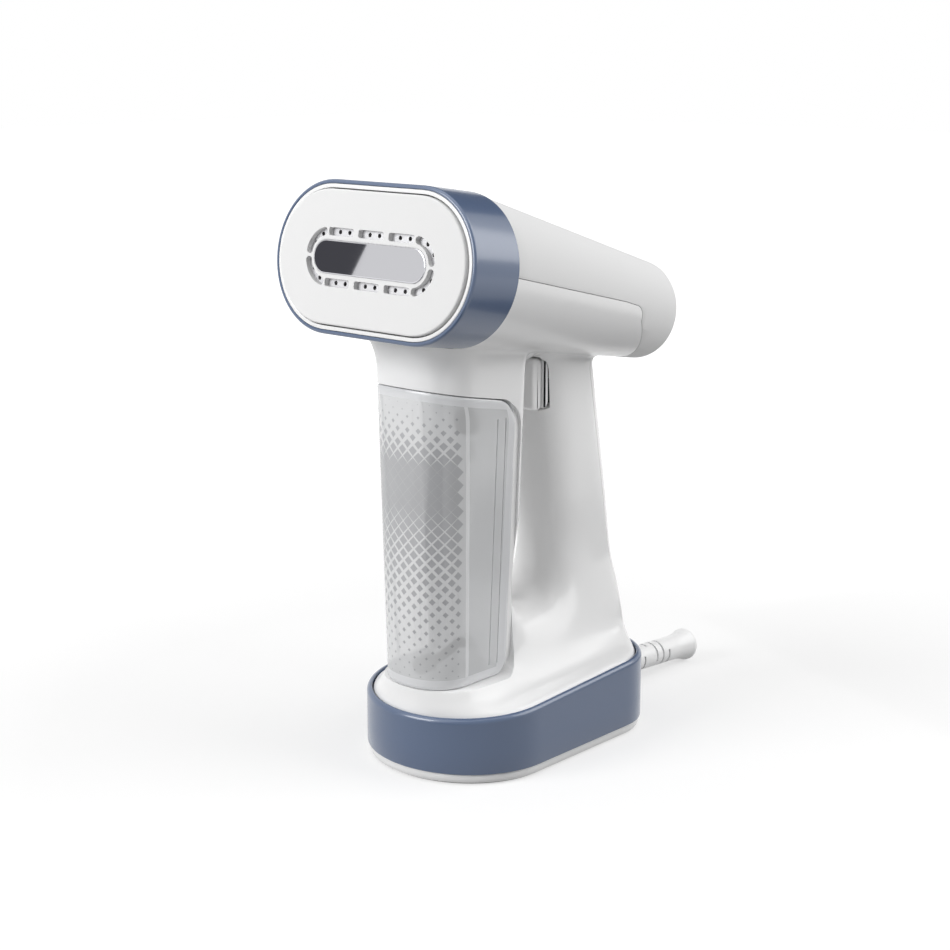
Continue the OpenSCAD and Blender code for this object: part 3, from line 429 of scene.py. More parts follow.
def emptied(owner):
    """The node tree of a material or world, with nothing in it."""
    owner.use_nodes = True
    owner.node_tree.nodes.clear()
    return owner.node_tree


def finish_of(name, colour, **surface):
    """A material with one surface shader, and its node tree."""
    material = bpy.data.materials.new(name)
    tree = emptied(material)
    shader = add_node(tree, "ShaderNodeBsdfPrincipled", {"Base Color": rgba(colour), **surface})
    add_node(tree, "ShaderNodeOutputMaterial", {"Surface": shader.outputs[0]})
    return material, tree, shader


def rgba(colour):
    return (*colour, 1.0)


def grained(name, colour, period, depth, detail, low, high, **surface):
    """A material with a fine bump, its period and depth in millimetres, and a roughness that wanders between two values."""
    material, tree, shader = finish_of(name, colour, **surface)
    place, scale = add_node(tree, "ShaderNodeTexCoord"), 1 / (period * MM)
    noise = add_node(tree, "ShaderNodeTexNoise", {"Vector": place.outputs["Object"], "Scale": scale, "Detail": detail})
    bump = add_node(tree, "ShaderNodeBump", {"Height": noise.outputs["Fac"], "Strength": 0.5, "Distance": depth * MM})
    tree.links.new(bump.outputs["Normal"], shader.inputs["Normal"])
    ends = {"From Min": 0.3, "From Max": 0.7, "To Min": low, "To Max": high}
    rough = add_node(tree, "ShaderNodeMapRange", {"Value": noise.outputs["Fac"], **ends})
    tree.links.new(rough.outputs["Result"], shader.inputs["Roughness"])
    return material


FINISHES = {}


def finishes(context):
    """Every finish of the steamer, by its short name."""
    if not FINISHES:
        FINISHES.update(make_finishes(context.scene.steamer_colours))
    return FINISHES


def make_finishes(colours):
    made = {}

    # Injection-moulded ABS from a polished tool: an even white with a clear, slightly wavy gloss.
    made["gloss"] = grained("polished_moulded_ABS", colours.gloss, 14, 0.012, 1, 0.2, 0.25, IOR=1.53)

    # ABS from a spark-eroded tool: a fine grain, drawn at 0.6 mm so that it shows, scatters the light.
    made["matt"] = grained("spark_eroded_ABS", colours.matt, 0.6, 0.03, 3, 0.42, 0.52, IOR=1.53)

    # Coloured ABS under a satin clear coat: soft long highlights with a sharper one over them.
    coat = {"Coat Weight": 0.7, "Coat Roughness": 0.16}
    made["blue"] = grained("satin_coated_blue_ABS", colours.blue, 0.8, 0.008, 2, 0.3, 0.38, IOR=1.53, **coat)

    # Bead-blasted and anodised aluminium: pale, with a fine even grain and a broad metallic sheen.
    made["plate"] = grained("bead_blasted_anodised_aluminium", colours.plate, 0.5, 0.012, 3, 0.4, 0.5, Metallic=0.6)

    # Chrome on polished ABS: a mirror with a faint waviness of the moulding under it.
    made["chrome"] = grained("chrome_plated_ABS", colours.chrome, 30, 0.0005, 1, 0.012, 0.03, Metallic=1.0)

    # Moulded nitrile rubber: almost black, dull, with a faint dusty unevenness.
    made["rubber"] = grained("moulded_nitrile_rubber", colours.rubber, 1.2, 0.02, 3, 0.6, 0.75, IOR=1.52)

    # Soft PVC: white, with a low waxy sheen.
    made["guard"] = grained("soft_moulded_PVC", colours.guard, 2.5, 0.015, 2, 0.3, 0.38, IOR=1.53)

    made["tank"], made["tank_rim"], made["tank_inner"] = tank_materials(colours)
    # The pieces inside, which show through the clear tank and when it is out, each in its usual metal, plastic or
    # ceramic, except the steam chamber, whose dark colour is painted shade seen through the jet holes.
    inner = {
        # name: (material, hex colour, metallic, roughness low, roughness high, grain period, grain depth)
        "cast": ("die_cast_aluminium", "#B4B4B6", 1.0, 0.45, 0.6, 1.5, 0.03),
        # the steam chamber is painted dark: painted shade that makes the jet holes look black
        "jet_shade": ("cast_aluminium_darkened_as_jet_shade", "#4C4A49", 1.0, 0.5, 0.65, 1.5, 0.03),
        "steel": ("zinc_plated_steel", "#B7B8BB", 1.0, 0.25, 0.35, 3.0, 0.006),
        "brass": ("nickel_plated_brass", "#C2BDAE", 1.0, 0.2, 0.3, 3.0, 0.006),
        "ceramic": ("fired_steatite", "#E6E0CE", 0.0, 0.5, 0.65, 1.0, 0.02),
        "dark": ("moulded_glass_filled_nylon", "#2A2B30", 0.0, 0.4, 0.55, 0.8, 0.02),
        "pale": ("moulded_polypropylene", "#DBDBDB", 0.0, 0.35, 0.45, 1.5, 0.015),
        "silicone": ("extruded_silicone", "#E3E2DF", 0.0, 0.4, 0.5, 4.0, 0.02),
        "hose": ("extruded_dark_silicone", "#4A4A4C", 0.0, 0.4, 0.5, 4.0, 0.02),
        "red": ("moulded_red_acetal", "#C23B30", 0.0, 0.3, 0.4, 2.0, 0.01),
        "lead": ("braided_lead_sleeve", "#A4453B", 0.0, 0.6, 0.75, 0.5, 0.05),
        "board": ("solder_resist_on_laminate", "#2E6B3E", 0.0, 0.25, 0.35, 1.5, 0.02),
    }
    for key, (name, code, metal, low, high, period, depth) in inner.items():
        made[key] = grained(name, linear(code), period, depth, 2, low, high, Metallic=metal)
    return made


def tank_materials(colours):
    """The clear tank wall with its printed lattice, its frosted rim and its inner face."""
    s = sizes(bpy.context)
    pitch = s.lattice * MM

    # Clear polycarbonate with a slight haze: glossy outside, with a grey screen print on it.
    # The print is a lattice of diamonds that grow towards a full tone two thirds of the way up.
    wall, tree, shader = finish_of("clear_polycarbonate_with_screen_print", colours.tank, Roughness=0.12, IOR=1.58)
    chart = add_node(tree, "ShaderNodeUVMap", uv_map="wrap")
    parts = add_node(tree, "ShaderNodeSeparateXYZ", {"Vector": chart.outputs["UV"]})
    along, up = parts.outputs["X"], parts.outputs["Y"]
    value = {"along": along, "up": up}
    # how large the diamonds are at a height: from metres, to metres, size there, size there
    for name, *ends in (("rise", 0.008, 0.0955, 0.2, 1.04), ("fall", 0.1165, 0.1455, 1.04, 0.14)):
        inputs = dict(zip(("Value", "From Min", "From Max", "To Min", "To Max"), (up, *ends)))
        value[name] = add_node(tree, "ShaderNodeMapRange", inputs).outputs["Result"]
    for name, operation, *inputs in (
        # how far a point lies from the middle of its diamond: 0 in the middle, 1 where the diamonds touch
        ("column", "DIVIDE", "along", pitch),
        ("row", "DIVIDE", "up", pitch),
        ("rising", "ADD", "row", "column"),
        ("falling", "SUBTRACT", "row", "column"),
        ("rising_part", "FRACT", "rising"),
        ("falling_part", "FRACT", "falling"),
        ("rising_off", "SUBTRACT", "rising_part", 0.5),
        ("falling_off", "SUBTRACT", "falling_part", 0.5),
        ("rising_away", "ABSOLUTE", "rising_off"),
        ("falling_away", "ABSOLUTE", "falling_off"),
        ("away", "MAXIMUM", "rising_away", "falling_away"),
        ("reach", "MULTIPLY", "away", 2.0),
        ("grown", "MINIMUM", "rise", "fall"),
        ("inside", "SUBTRACT", "grown", "reach"),
        ("tone", "MULTIPLY", "inside", 14.0),
        # the print ends behind in a row of whole diamonds
        ("side", "ABSOLUTE", "along"),
        ("tooth", "PINGPONG", "up", pitch / 2),
        ("edge", "ADD", "side", "tooth"),
        ("within", "LESS_THAN", "edge", 5 * pitch),
        ("printed", "MULTIPLY", "tone", "within"),
        # a solid rib of the moulding stands behind the print
        ("rib_side", "SUBTRACT", "side", 5.36 * pitch),
        ("rib_off", "ABSOLUTE", "rib_side"),
        ("rib", "LESS_THAN", "rib_off", 0.0011),
        ("print_cover", "MULTIPLY", "printed", 0.27),
        ("rib_cover", "MULTIPLY", "rib", 0.25),
        ("cover", "ADD", "print_cover", "rib_cover"),
        ("alpha", "ADD", "cover", 0.58),
    ):
        sockets = {i: value.get(item, item) for i, item in enumerate(inputs)}
        value[name] = add_node(tree, "ShaderNodeMath", sockets, operation=operation, use_clamp=name == "tone").outputs[0]
    # sockets 6, 7 and 2 are the node's two colours and its result
    tones = {"Factor": value["printed"], 6: rgba(colours.tank), 7: rgba(colours.print_grey)}
    mix = add_node(tree, "ShaderNodeMix", tones, data_type="RGBA")
    tree.links.new(mix.outputs[2], shader.inputs["Base Color"])
    tree.links.new(value["alpha"], shader.inputs["Alpha"])

    # The inner face of the same wall adds little more than its gloss.
    inner = finish_of("clear_polycarbonate_inner_face", colours.tank, Roughness=0.14, Alpha=0.08, IOR=1.58)[0]

    # The same plastic where it is thick or frosted at the rims: paler and nearly closed.
    frost = linear("#E6E7E9")
    rim = grained("frosted_polycarbonate_rim", frost, 3, 0.01, 2, 0.16, 0.24, Alpha=0.86, IOR=1.58)
    return wall, rim, inner


WHITE = (1, 1, 1, 1)


def seen(tree):
    """1 for the rays that show a surface, directly, in gloss or through clear plastic, and 0 for those that light."""
    path = add_node(tree, "ShaderNodeLightPath").outputs
    shown = path["Is Camera Ray"]
    for other in ("Is Glossy Ray", "Is Transmission Ray"):
        shown = add_node(tree, "ShaderNodeMath", {0: shown, 1: path[other]}, operation="MAXIMUM").outputs[0]
    return shown


def flat_sheet(name, material, middle, width, height, turns):
    """A flat rectangle of the stage."""
    bm = bmesh.new()
    bmesh.ops.create_grid(bm, x_segments=1, y_segments=1, size=0.5)
    bmesh.ops.scale(bm, vec=(width, height, 1), verts=bm.verts)
    for turn, axis in zip(turns, "XYZ"):
        bmesh.ops.rotate(bm, cent=(0, 0, 0), matrix=Matrix.Rotation(math.radians(turn), 3, axis), verts=bm.verts)
    bmesh.ops.translate(bm, vec=middle, verts=bm.verts)
    mesh = bpy.data.meshes.new(name)
    bm.to_mesh(mesh)
    bm.free()
    mesh.materials.append(material)
    return add_object(name, mesh)


# ---------- operators ----------


class STEAMER_OT_stage(bpy.types.Operator):
    """Adds the floor, the lamps, the world and the camera"""

    bl_idname = "steamer.stage"
    bl_label = "Stage"

    def execute(self, context):
        scene = context.scene
        scene.view_settings.view_transform = "Standard"

        camera = add_object("camera", bpy.data.cameras.new("camera"))
        camera.data.lens, camera.data.sensor_width = 70.4, 36
        camera.location = (0.6285, -0.7174, 0.3701)
        camera.rotation_euler = Vector((0.6525, -0.7220, 0.2299)).to_track_quat("Z", "Y").to_euler()
        scene.camera = camera

        # A pale seamless floor. The camera sees it brighter than it lights the object, and white from a metre out.
        paper, tree, shader = finish_of("matt_backdrop_paper", linear("#A6A6A6"), Roughness=0.9)
        place = add_node(tree, "ShaderNodeTexCoord")
        far = add_node(tree, "ShaderNodeVectorMath", {0: place.outputs["Object"]}, operation="LENGTH")
        ends = {"From Min": 0.25, "From Max": 1.2, "To Min": 0.58, "To Max": 1.0}
        power = add_node(tree, "ShaderNodeMapRange", {"Value": far.outputs["Value"], **ends})
        glow = add_node(tree, "ShaderNodeEmission", {"Color": WHITE, "Strength": power.outputs["Result"]})
        lit = add_node(tree, "ShaderNodeAddShader", {0: shader.outputs[0], 1: glow.outputs[0]})
        both = add_node(tree, "ShaderNodeMixShader", {0: seen(tree), 1: shader.outputs[0], 2: lit.outputs[0]})
        tree.links.new(both.outputs[0], next(n for n in tree.nodes if n.type == "OUTPUT_MATERIAL").inputs["Surface"])
        floor = flat_sheet("floor", paper, (0, 0, 0), 12, 12, (0, 0, 0))

        # The room lights the object evenly and weakly, and is seen as white.
        world = scene.world or bpy.data.worlds.new("studio")
        scene.world = world
        tree = emptied(world)
        room = add_node(tree, "ShaderNodeBackground", {"Color": WHITE, "Strength": 0.14})
        white = add_node(tree, "ShaderNodeBackground", {"Color": WHITE, "Strength": 1.0})
        both = add_node(tree, "ShaderNodeMixShader", {0: seen(tree), 1: room.outputs[0], 2: white.outputs[0]})
        add_node(tree, "ShaderNodeOutputWorld", {"Surface": both.outputs[0]})

        # Dark cards that only the gloss of the object shows: they draw its edges against the pale room.
        felt = bpy.data.materials.new("black_felt_card")
        tree = emptied(felt)
        dark = add_node(tree, "ShaderNodeEmission", {"Color": rgba(linear("#56565B")), "Strength": 1.0})
        add_node(tree, "ShaderNodeOutputMaterial", {"Surface": dark.outputs[0]})
        for name, *place in (
            # name, middle, width, height, turns about x, y and z in degrees
            ("badge_card", (-0.736, -0.72, 0.349), 0.18, 0.34, (90, 20.7, 0)),
            ("front_card", (0.27, -0.95, 0.004), 0.34, 1.5, (0, 0, 17)),
            ("ceiling_card", (-0.5, 0.85, 0.95), 1.1, 0.9, (-50, 0, 30)),
            ("rear_card", (0.2, 0.42, 0.004), 0.34, 0.5, (0, 0, -20)),
        ):
            card = flat_sheet(name, felt, *place)
            card.visible_camera = card.visible_diffuse = card.visible_transmission = card.visible_shadow = False

        aim = Vector((0, 0, 0.15))
        for name, place, width, height, power in (
            # name, place, width, height, power in watts
            ("top_softbox", (-0.1, -0.3, 1.5), 1.6, 1.6, 9),
            ("left_softbox", (-0.5, -1.45, 0.85), 0.9, 0.8, 20),
            ("right_softbox", (1.0, 0.75, 0.95), 1.4, 1.2, 16),
        ):
            light = bpy.data.lights.new(name, "AREA")
            light.shape, light.size, light.size_y, light.energy = "RECTANGLE", width, height, power
            lamp = add_object(name, light)
            lamp.location = place
            lamp.rotation_euler = (Vector(place) - aim).to_track_quat("Z", "Y").to_euler()
        return {"FINISHED"}


# Thickness of the steam plate
PLATE = 3.2
# The foot, as height over the band's edge, half width more than the base's, and inset of the front and the back
FOOT = [
    (-11, -3, 3, 3), (-3, -3, 3, 3), (0.2, -4, 3.1, 3.1), (1.4, -8, 3.3, 3.3), (2.8, -13.4, 3.6, 3.5),
    (5.2, -17, 4, 3.8), (8.4, -21, 4.2, 3.95),
]
# Its upper part, as height over the band's edge, half width more than the column's, and inset of the back
FOOT_UPPER = [
    (12.2, 5.8, 4.1), (16, 5.8, 4.2), (20, 5, 4.3), (26, 3.4, 4.45), (32, 1.6, 4.6),
    (40, -0.6, 4.9), (46, -2.4, 5.4), (54, -4.6, 6.6), (59, -9, 15),
]


def head_ring_at(s, depth, outline, rise=0.0):
    """An outline across the head, laid at a depth behind its face."""
    return [s.head @ Vector((p.x, p.y + rise, -depth)) for p in outline]


def face_outline(s, hw, hh, depth):
    return head_ring_at(s, depth, stadium(hw, hh))


def barrel_ring(s, depth, inset=0.0):
    """The barrel's outline at a depth. It starts 0.5 mm under the ring's surface."""
    k = (depth - s.ring_depth) / (s.barrel_length - s.ring_depth)
    hw = s.face_hw - 0.5 + (s.rear_width / 2 - s.face_hw + 0.5) * k
    hh = s.face_hh - 0.5 + (s.rear_height / 2 - s.face_hh + 0.5) * k
    rise = (s.rear_height / 2 - s.face_hh + 0.5 - s.rear_drop) * k
    return head_ring_at(s, depth, stadium(hw - inset, hh - inset, 160), rise)


def barrel_rings(s, start, inset=0.0):
    """The barrel from a depth to its rear end, which is rounded by 5 mm."""
    last, end = s.barrel_length - inset, 5.0
    rings = [barrel_ring(s, d, inset) for d in spread(start, last - end, 16)]
    return rings + [barrel_ring(s, last - end + end * up, inset + (end - 0.4) * (1 - c)) for c, up in quarter(7)[1:]]


def housing_forms(s):
    """Barrel, column, handle, foot and bridge as overlapping closed forms."""
    bm = bmesh.new()
    skin(bm, barrel_rings(s, s.ring_depth - 9))
    for outline, low, high, swell, start, run, power in (
        # column and handle: lowest, highest, how far they widen into the barrel, from which height, over what height
        (column_outline, s.shelf - 7, 230, 4.5, 207, 19, 2.4),
        (grip_outline, 68, 213, 7, 203, 10, 2.2),
    ):
        skin(bm, [level(outline(s, z, -swell * max(0.0, (z - start) / run) ** power), z) for z in spread(low, high, 40)])
    foot = [(up, foot_outline(s, s.half_w + side, front - s.half_l, s.half_l - back)) for up, side, front, back in FOOT]
    for up, side, back in FOOT_UPPER:
        front = 4.4 - s.half_l if up < 14 else -s.col_back - 5.7
        foot.append((up, foot_outline(s, s.column_low / 2 + side, front, s.half_l - back)))
    skin(bm, [level(outline, lambda y, up=up: band_height(s, y) + up) for up, outline in foot])
    # the bridge from the column to the handle, and a block that keeps its arch narrow at the column
    skin(bm, [level(foot_outline(s, 17, -s.col_back - 9, 27), z) for z in (206, 214)])
    arch = -s.col_back - 8
    return block(bm, ((arch, 194), (0, 194), (0, 213), (arch, 213)), -21.5, 21.5)


def finger_tool(s):
    """The finger opening from side to side."""
    floor, roof = 73, 209
    corners = (
        (14.3 - s.col_back, floor + 14, 14, 180),
        (grip_span(s, floor + 12)[0] - 12.3, floor + 12, 12, 270),
        (grip_span(s, roof - 3.4)[0] - 3.6, roof - 3.4, 3.4, 0),
        (10.0 - s.col_back, roof - 10, 10, 90),
    )
    profile = [p for y, z, r, start in corners for p in arc(y, z, r, start, start + 90)]
    return cutter(profile, -60, 60)


def cover_profile(s, grow):
    """Side profile of what belongs to the barrel's cover, as depth and height over the head's axis."""
    def part(d):
        return -0.9 - 0.075 * (d - s.ring_depth)

    r, far, start, end = 8, 90, s.ring_depth - 12, s.barrel_length + 40
    knee, turn = part(s.cover_knee) - r, s.cover_knee - r - grow
    points = [Vector((start, far)), Vector((start, part(start) - grow))]
    points += [Vector((d, part(d) - grow)) for d in spread(s.ring_depth, 130, 8)]
    points += [Vector((turn + r * up, knee - grow + r * c)) for c, up in quarter(10)]
    foot = s.cover_knee + 32 + 0.6 * (far - s.face_hh) - grow
    return points + [Vector((foot, -far)), Vector((end, -far)), Vector((end, far))]


def cover_tool(s, grow):
    profile, side = cover_profile(s, grow), s.face_hw + 10
    return tool([[s.head @ Vector((x, p.y, -p.x)) for p in profile] for x in (-side, side)])


def tank_profile(s, low, high, back, r_low, r_top):
    """Side profile of the tank's place, from its shelf to the seam."""
    front = -s.col_front - 14
    points = [Vector((front, seam_height(s, front) - high)), Vector((front, low))]
    points += arc(back - r_low, low + r_low, r_low, -90, 0, 8)
    return points + arc(back - r_top, seam_height(s, back - r_top) - high - r_top, r_top, 0, 79, 10)


def bay_tools(s):
    """The tank's place, and the groove behind it on each side."""
    tools = [cutter(tank_profile(s, s.shelf, 0.1, 0.3 - s.tank_back, 8.3, 13.3))]
    profile = tank_profile(s, s.shelf + 2, 1.4, s.groove - s.tank_back, 10, 16)
    for side in (-1, 1):
        tools.append(cutter(profile, lambda z, side=side: side * (column_half(s, z) - 2), side * ACROSS))
    return tools


def strip_tool(s, depth):
    """What lies behind the crease of the handle's rear cover."""
    def back(z):
        return grip_span(s, z)[1]

    profile = [(back(60) - depth + 6, 44), (back(80) - depth + 1, 78)]
    profile += [(back(z) - depth, z) for z in spread(100, 198, 8)]
    profile += [(back(203) - depth + 3, 203.4), (back(203) + 14, 203.4), (back(60) + 14, 44)]
    return cutter(profile, -s.half_w, s.half_w)


def pocket_tool(s):
    """The room in the handle's front that the trigger swings in."""
    low, high = node_box("trigger")
    bottom, top, back = low.z - 1.1, high.z + 0.9, low.y + 16.5
    profile = [Vector((0.0, top)), Vector((0.0, bottom))]
    profile += arc(back - 10, bottom + 10, 10, -90, 0, 10) + arc(back - 9, top - 9, 9, 0, 90, 10)
    half = high.x + 1.6
    return cutter(profile, -half, half)


def socket_tool(s):
    """The round hole in the bay's wall that shows the water socket."""
    low, high = node_box("tank_socket")
    middle, r = (low + high) / 2, (high.x - low.x) / 2 + 0.3
    hole = arc(middle.x, middle.z, r, 0, 352.5, 47)
    return tool([[Vector((p.x, y, p.y)) for p in hole] for y in (-s.tank_back - 2, 6 - s.tank_back)])


class STEAMER_OT_housing(bpy.types.Operator):
    """Builds the white housing and the handle's rear cover from one smooth shell"""

    bl_idname = "steamer.housing"
    bl_label = "Housing"

    def execute(self, context):
        s, materials = sizes(context), finishes(context)
        form_grid, shell_grid, hollow_grid = 1.6, 1.45, 2.6
        edge_rounds, sweep_rounds = 14, 700
        form = remesh(piece("tool", housing_forms(s)), form_grid)
        combine(form, finger_tool(s))
        shell = relax(remesh(form, shell_grid), edge_rounds)

        def sweep(x, y, z):
            """Where the handle sweeps into the foot without an edge."""
            return ramp(z, 42, 58) * ramp(-z, -132, -96) * ramp(y, -24, -12) * (1 - 0.93 * ramp(y, 34, 58))

        relax_where(shell, sweep, sweep_rounds)
        inside = add_object("inside", shell.data.copy())
        sink = inside.modifiers.new("sink", "DISPLACE")
        sink.strength, sink.mid_level = -s.wall * MM, 0
        remesh(bake(inside), hollow_grid)
        # a wall stays round the tank's place and a solid ledge beside its foot, so neither opens the hollow
        wall = s.wall
        lining = tank_profile(s, s.shelf - wall, 0.1 - wall, wall + 0.3 - s.tank_back, 8.3 + wall, 13.3 + wall)
        combine(inside, cutter(lining))
        front, back, low, high = -60, 8 - s.tank_back, s.shelf - 4, s.shelf + 18
        for side in (-1, 1):
            ledge = ((front, low), (back, low), (back, high), (front, high))
            combine(inside, cutter(ledge, side * (s.column_low / 2 - 6), side * ACROSS))
        combine(shell, inside)

        # room for the head ring, the base and the barrel's cover, then the tank's place and the trigger's
        outline = stadium(s.face_hw + 0.35, s.face_hh + 0.35)
        combine(shell, tool([head_ring_at(s, d, outline) for d in (-12, s.ring_depth + 0.2)]))
        end = 90
        combine(shell, cutter([(y, band_height(s, y) - 8) for y in (-end, end)] + [(end, -9), (-end, -9)]))
        zone = tool(barrel_rings(s, s.ring_depth - 12, -0.8))
        combine(shell, combine(zone, cover_tool(s, 0), "INTERSECT"))
        for part in (*bay_tools(s), pocket_tool(s), socket_tool(s)):
            combine(shell, part)

        rear = add_object("rear_cover_shell", shell.data.copy())
        combine(rear, strip_tool(s, s.strip - s.part_line), "INTERSECT")
        combine(shell, strip_tool(s, s.strip))
        for obj, name, node in ((shell, "housing_shell", "main_housing"), (rear, "rear_cover_shell", "rear_cover")):
            obj.name = obj.data.name = name
            obj.data.materials.clear()
            obj.data.materials.append(materials["gloss"])
            shade(obj.data, 38)
            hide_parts(node)
            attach(obj, "body")
        return {"FINISHED"}


class STEAMER_OT_cover(bpy.types.Operator):
    """Builds the matt cover of the barrel"""

    bl_idname = "steamer.cover"
    bl_label = "Barrel cover"

    def execute(self, context):
        s, materials = sizes(context), finishes(context)
        cover = tool(barrel_rings(s, s.ring_depth + 0.2))
        combine(cover, tool(barrel_rings(s, s.ring_depth - 2, s.wall)))
        combine(cover, cover_tool(s, -s.part_line), "INTERSECT")
        bevelled(cover, 0.25, 2, 50)
        cover.name = cover.data.name = "barrel_cover_shell"
        cover.data.materials.append(materials["matt"])
        shade(cover.data, 30)
        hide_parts("barrel_cover")
        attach(cover, "body")
        return {"FINISHED"}


class STEAMER_OT_base(bpy.types.Operator):
    """Builds the blue band, the white base plate and the rubber foot pad"""

    bl_idname = "steamer.base"
    bl_label = "Base"

    def execute(self, context):
        s, materials = sizes(context), finishes(context)
        def tall(inset, drop):
            return level(base_outline(s, inset), lambda y: band_height(s, y) - drop)

        def flat(inset, z):
            return level(base_outline(s, inset), z)

        edge, wall = 2.4, 2.6
        rings = [flat(0.5, s.band_z), flat(0.15, s.band_z + 0.15), flat(0, s.band_z + 0.6)]
        rings += [flat(0, s.band_z + 12), tall(0, 10), tall(0, edge + 0.5)]
        rings += [tall(edge * (1 - c) * 0.95, edge * (1 - up)) for c, up in quarter(6)]
        rings += [tall(wall + 0.2, 0.5), flat(wall, s.band_z)]
        band = piece("base_band_shell", skin(bmesh.new(), rings, hoop=True), materials["blue"], crease=40)
        # the hole of the cord guard
        tube, r = bmesh.new(), 7.4
        exit_place = Matrix.Translation((0, s.half_l, 15)) @ Matrix.Rotation(math.radians(-93.4), 4, "X")
        bmesh.ops.create_cone(tube, cap_ends=True, segments=64, radius1=r, radius2=r, depth=30, matrix=exit_place)
        combine(band, piece("tool", tube))
        shade(band.data, 40)
        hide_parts("base_band")
        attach(band, "body")

        top = s.band_z
        rings = [flat(2.6, 1), flat(1.9, 1.15), flat(1.55, 1.7), flat(1.2, 2.6), flat(1, 3.4)]
        rings += [flat(1, top - 0.5), flat(1.3, top - 0.15), flat(wall + 0.4, top - 0.1)]
        rings += [flat(wall + 0.4, top + 2.8), flat(4.9, top + 2.8), flat(4.9, 3.4)]
        plate = piece("base_tray", skin(bmesh.new(), rings), materials["gloss"], crease=40)
        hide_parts("base_plate")
        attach(plate, "body")

        rings = [flat(4.1, 0), flat(3.6, 0.2), flat(3.5, 0.5), flat(3.5, 1)]
        pad = piece("foot_mat", skin(bmesh.new(), rings), materials["rubber"], crease=40)
        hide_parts("foot_pad")
        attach(pad, "body")
        return {"FINISHED"}


class STEAMER_OT_head(bpy.types.Operator):
    """Builds the blue head ring, the white plate frame and the gasket"""

    bl_idname = "steamer.head"
    bl_label = "Steam head"

    def execute(self, context):
        s, materials = sizes(context), finishes(context)

        def hoop(name, profile, hw, hh, material, node, slot):
            """A ring whose profile is given as inset and depth."""
            rings = [face_outline(s, hw - inset, hh - inset, depth) for inset, depth in profile]
            obj = piece(name, skin(bmesh.new(), rings, hoop=True), material, crease=35)
            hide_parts(node)
            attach(obj, "body")

        r = 1.35
        rounding = [(r * (1 - c), r * (1 - up)) for c, up in quarter(5)]
        profile = [(0.25, s.ring_depth), (0, s.ring_depth - 0.25), (0, 16), (0, r + 0.4)] + rounding
        profile += [(s.ring_wall - 0.25, 0.02), (s.ring_wall, 0.3), (s.ring_wall, s.ring_depth)]
        hoop("head_ring_shell", profile, s.face_hw, s.face_hh, materials["blue"], "head_ring", "slate_blue_abs")

        # the frame ends inwards at the steam chamber
        chamber, rim, depth, seat = s.plate_hw - 4.3 + 0.5, s.rim_width, 21.7, 4.4
        profile = [(0, depth), (0, 0.6), (0.12, 0.2), (0.45, 0), (rim - 0.45, 0), (rim - 0.12, 0.15), (rim, 0.5)]
        profile += [(rim, seat), (s.rim_hw - chamber, seat), (s.rim_hw - chamber, depth)]
        hoop("plate_frame_shell", profile, s.rim_hw, s.rim_hh, materials["gloss"], "plate_frame", "white_abs")

        depth, lip, seat = PLATE - s.plate_proud, 0.45, 4.3
        hw, hh = s.plate_hw + lip, s.plate_hh + lip
        profile = [(0, seat), (0, depth), (hw - chamber, depth), (hw - chamber, seat)]
        hoop("plate_gasket_ring", profile, hw, hh, materials["rubber"], "plate_gasket", "rubber_grey")
        return {"FINISHED"}


class STEAMER_OT_plate(bpy.types.Operator):
    """Builds the slotted steam plate and its badge"""

    bl_idname = "steamer.plate"
    bl_label = "Steam plate"

    def execute(self, context):
        s, materials = sizes(context), finishes(context)

        def at(hw, hh, depth):
            return face_outline(s, hw, hh, depth)

        front, back, r = -s.plate_proud, PLATE - s.plate_proud, 0.9
        rings = [at(s.plate_hw, s.plate_hh, back)]
        rings += [at(s.plate_hw - r * (1 - c), s.plate_hh - r * (1 - c), front + r * (1 - up)) for c, up in quarter(5)]
        plate = tool(rings)

        # two rows of straight slots, and a bent one in each corner
        pitch, row, half = 20.2, 12.3, 2.0

        def slot_end(turn, start):
            """The round end of a bent slot, at a turn of its middle line."""
            a = math.radians(turn)
            return arc(*Vector((row * math.cos(a), row * math.sin(a))), half, start, start + 180, 10)[1:-1]

        bar = rounded_bar(8.4, half, 1.1)
        slots = [[p + Vector((i * pitch, side * row)) for p in bar] for side in (-1, 1) for i in (-1, 0, 1)]
        for turn in (0, 90, 180, 270):
            side, start, end = 1 if turn in (0, 270) else -1, turn + 12, turn + 78
            outline = arc(0, 0, row + half, start, end, 20) + slot_end(end, end)
            outline += arc(0, 0, row - half, end, start, 20) + slot_end(start, start + 180)
            slots.append([p + Vector((side * pitch * 1.43, 0)) for p in outline])
        cutters = bmesh.new()
        for outline in slots:
            skin(cutters, [head_ring_at(s, d, outline) for d in (-5, 5)])
        combine(plate, piece("tool", cutters))
        for hw, hh, *depths in (
            # the badge's recess in front, and the room for the steam behind: half width, half height, depths
            (37.8, 8.5, front - 1, front + 0.5),
            (pitch * 1.5 + row + 4.15, row + 4.85, back - 0.5, back + 1),
        ):
            combine(plate, tool([at(hw, hh, depth) for depth in depths]))
        bevelled(plate, 0.35, 3, 50)
        plate.name = plate.data.name = "steam_plate_face"
        plate.data.materials.append(materials["plate"])
        shade(plate.data, 30)
        flatten(plate.data, s.head.to_3x3() @ Vector((0, 0, 1)))
        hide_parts("steam_plate")
        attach(plate, "body")

        hw, hh, r = node_box("center_badge")[1].x, 8.2, 0.55
        rings = [at(hw, hh, front + 0.45)]
        rings += [at(hw - r * (1 - c), hh - r * (1 - c), front - 0.33 + 0.5 * (1 - up)) for c, up in quarter(6)]
        badge = piece("badge_capsule", skin(bmesh.new(), rings), materials["chrome"], crease=45)
        flatten(badge.data, s.head.to_3x3() @ Vector((0, 0, 1)))
        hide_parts("center_badge")
        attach(badge, "body")
        return {"FINISHED"}


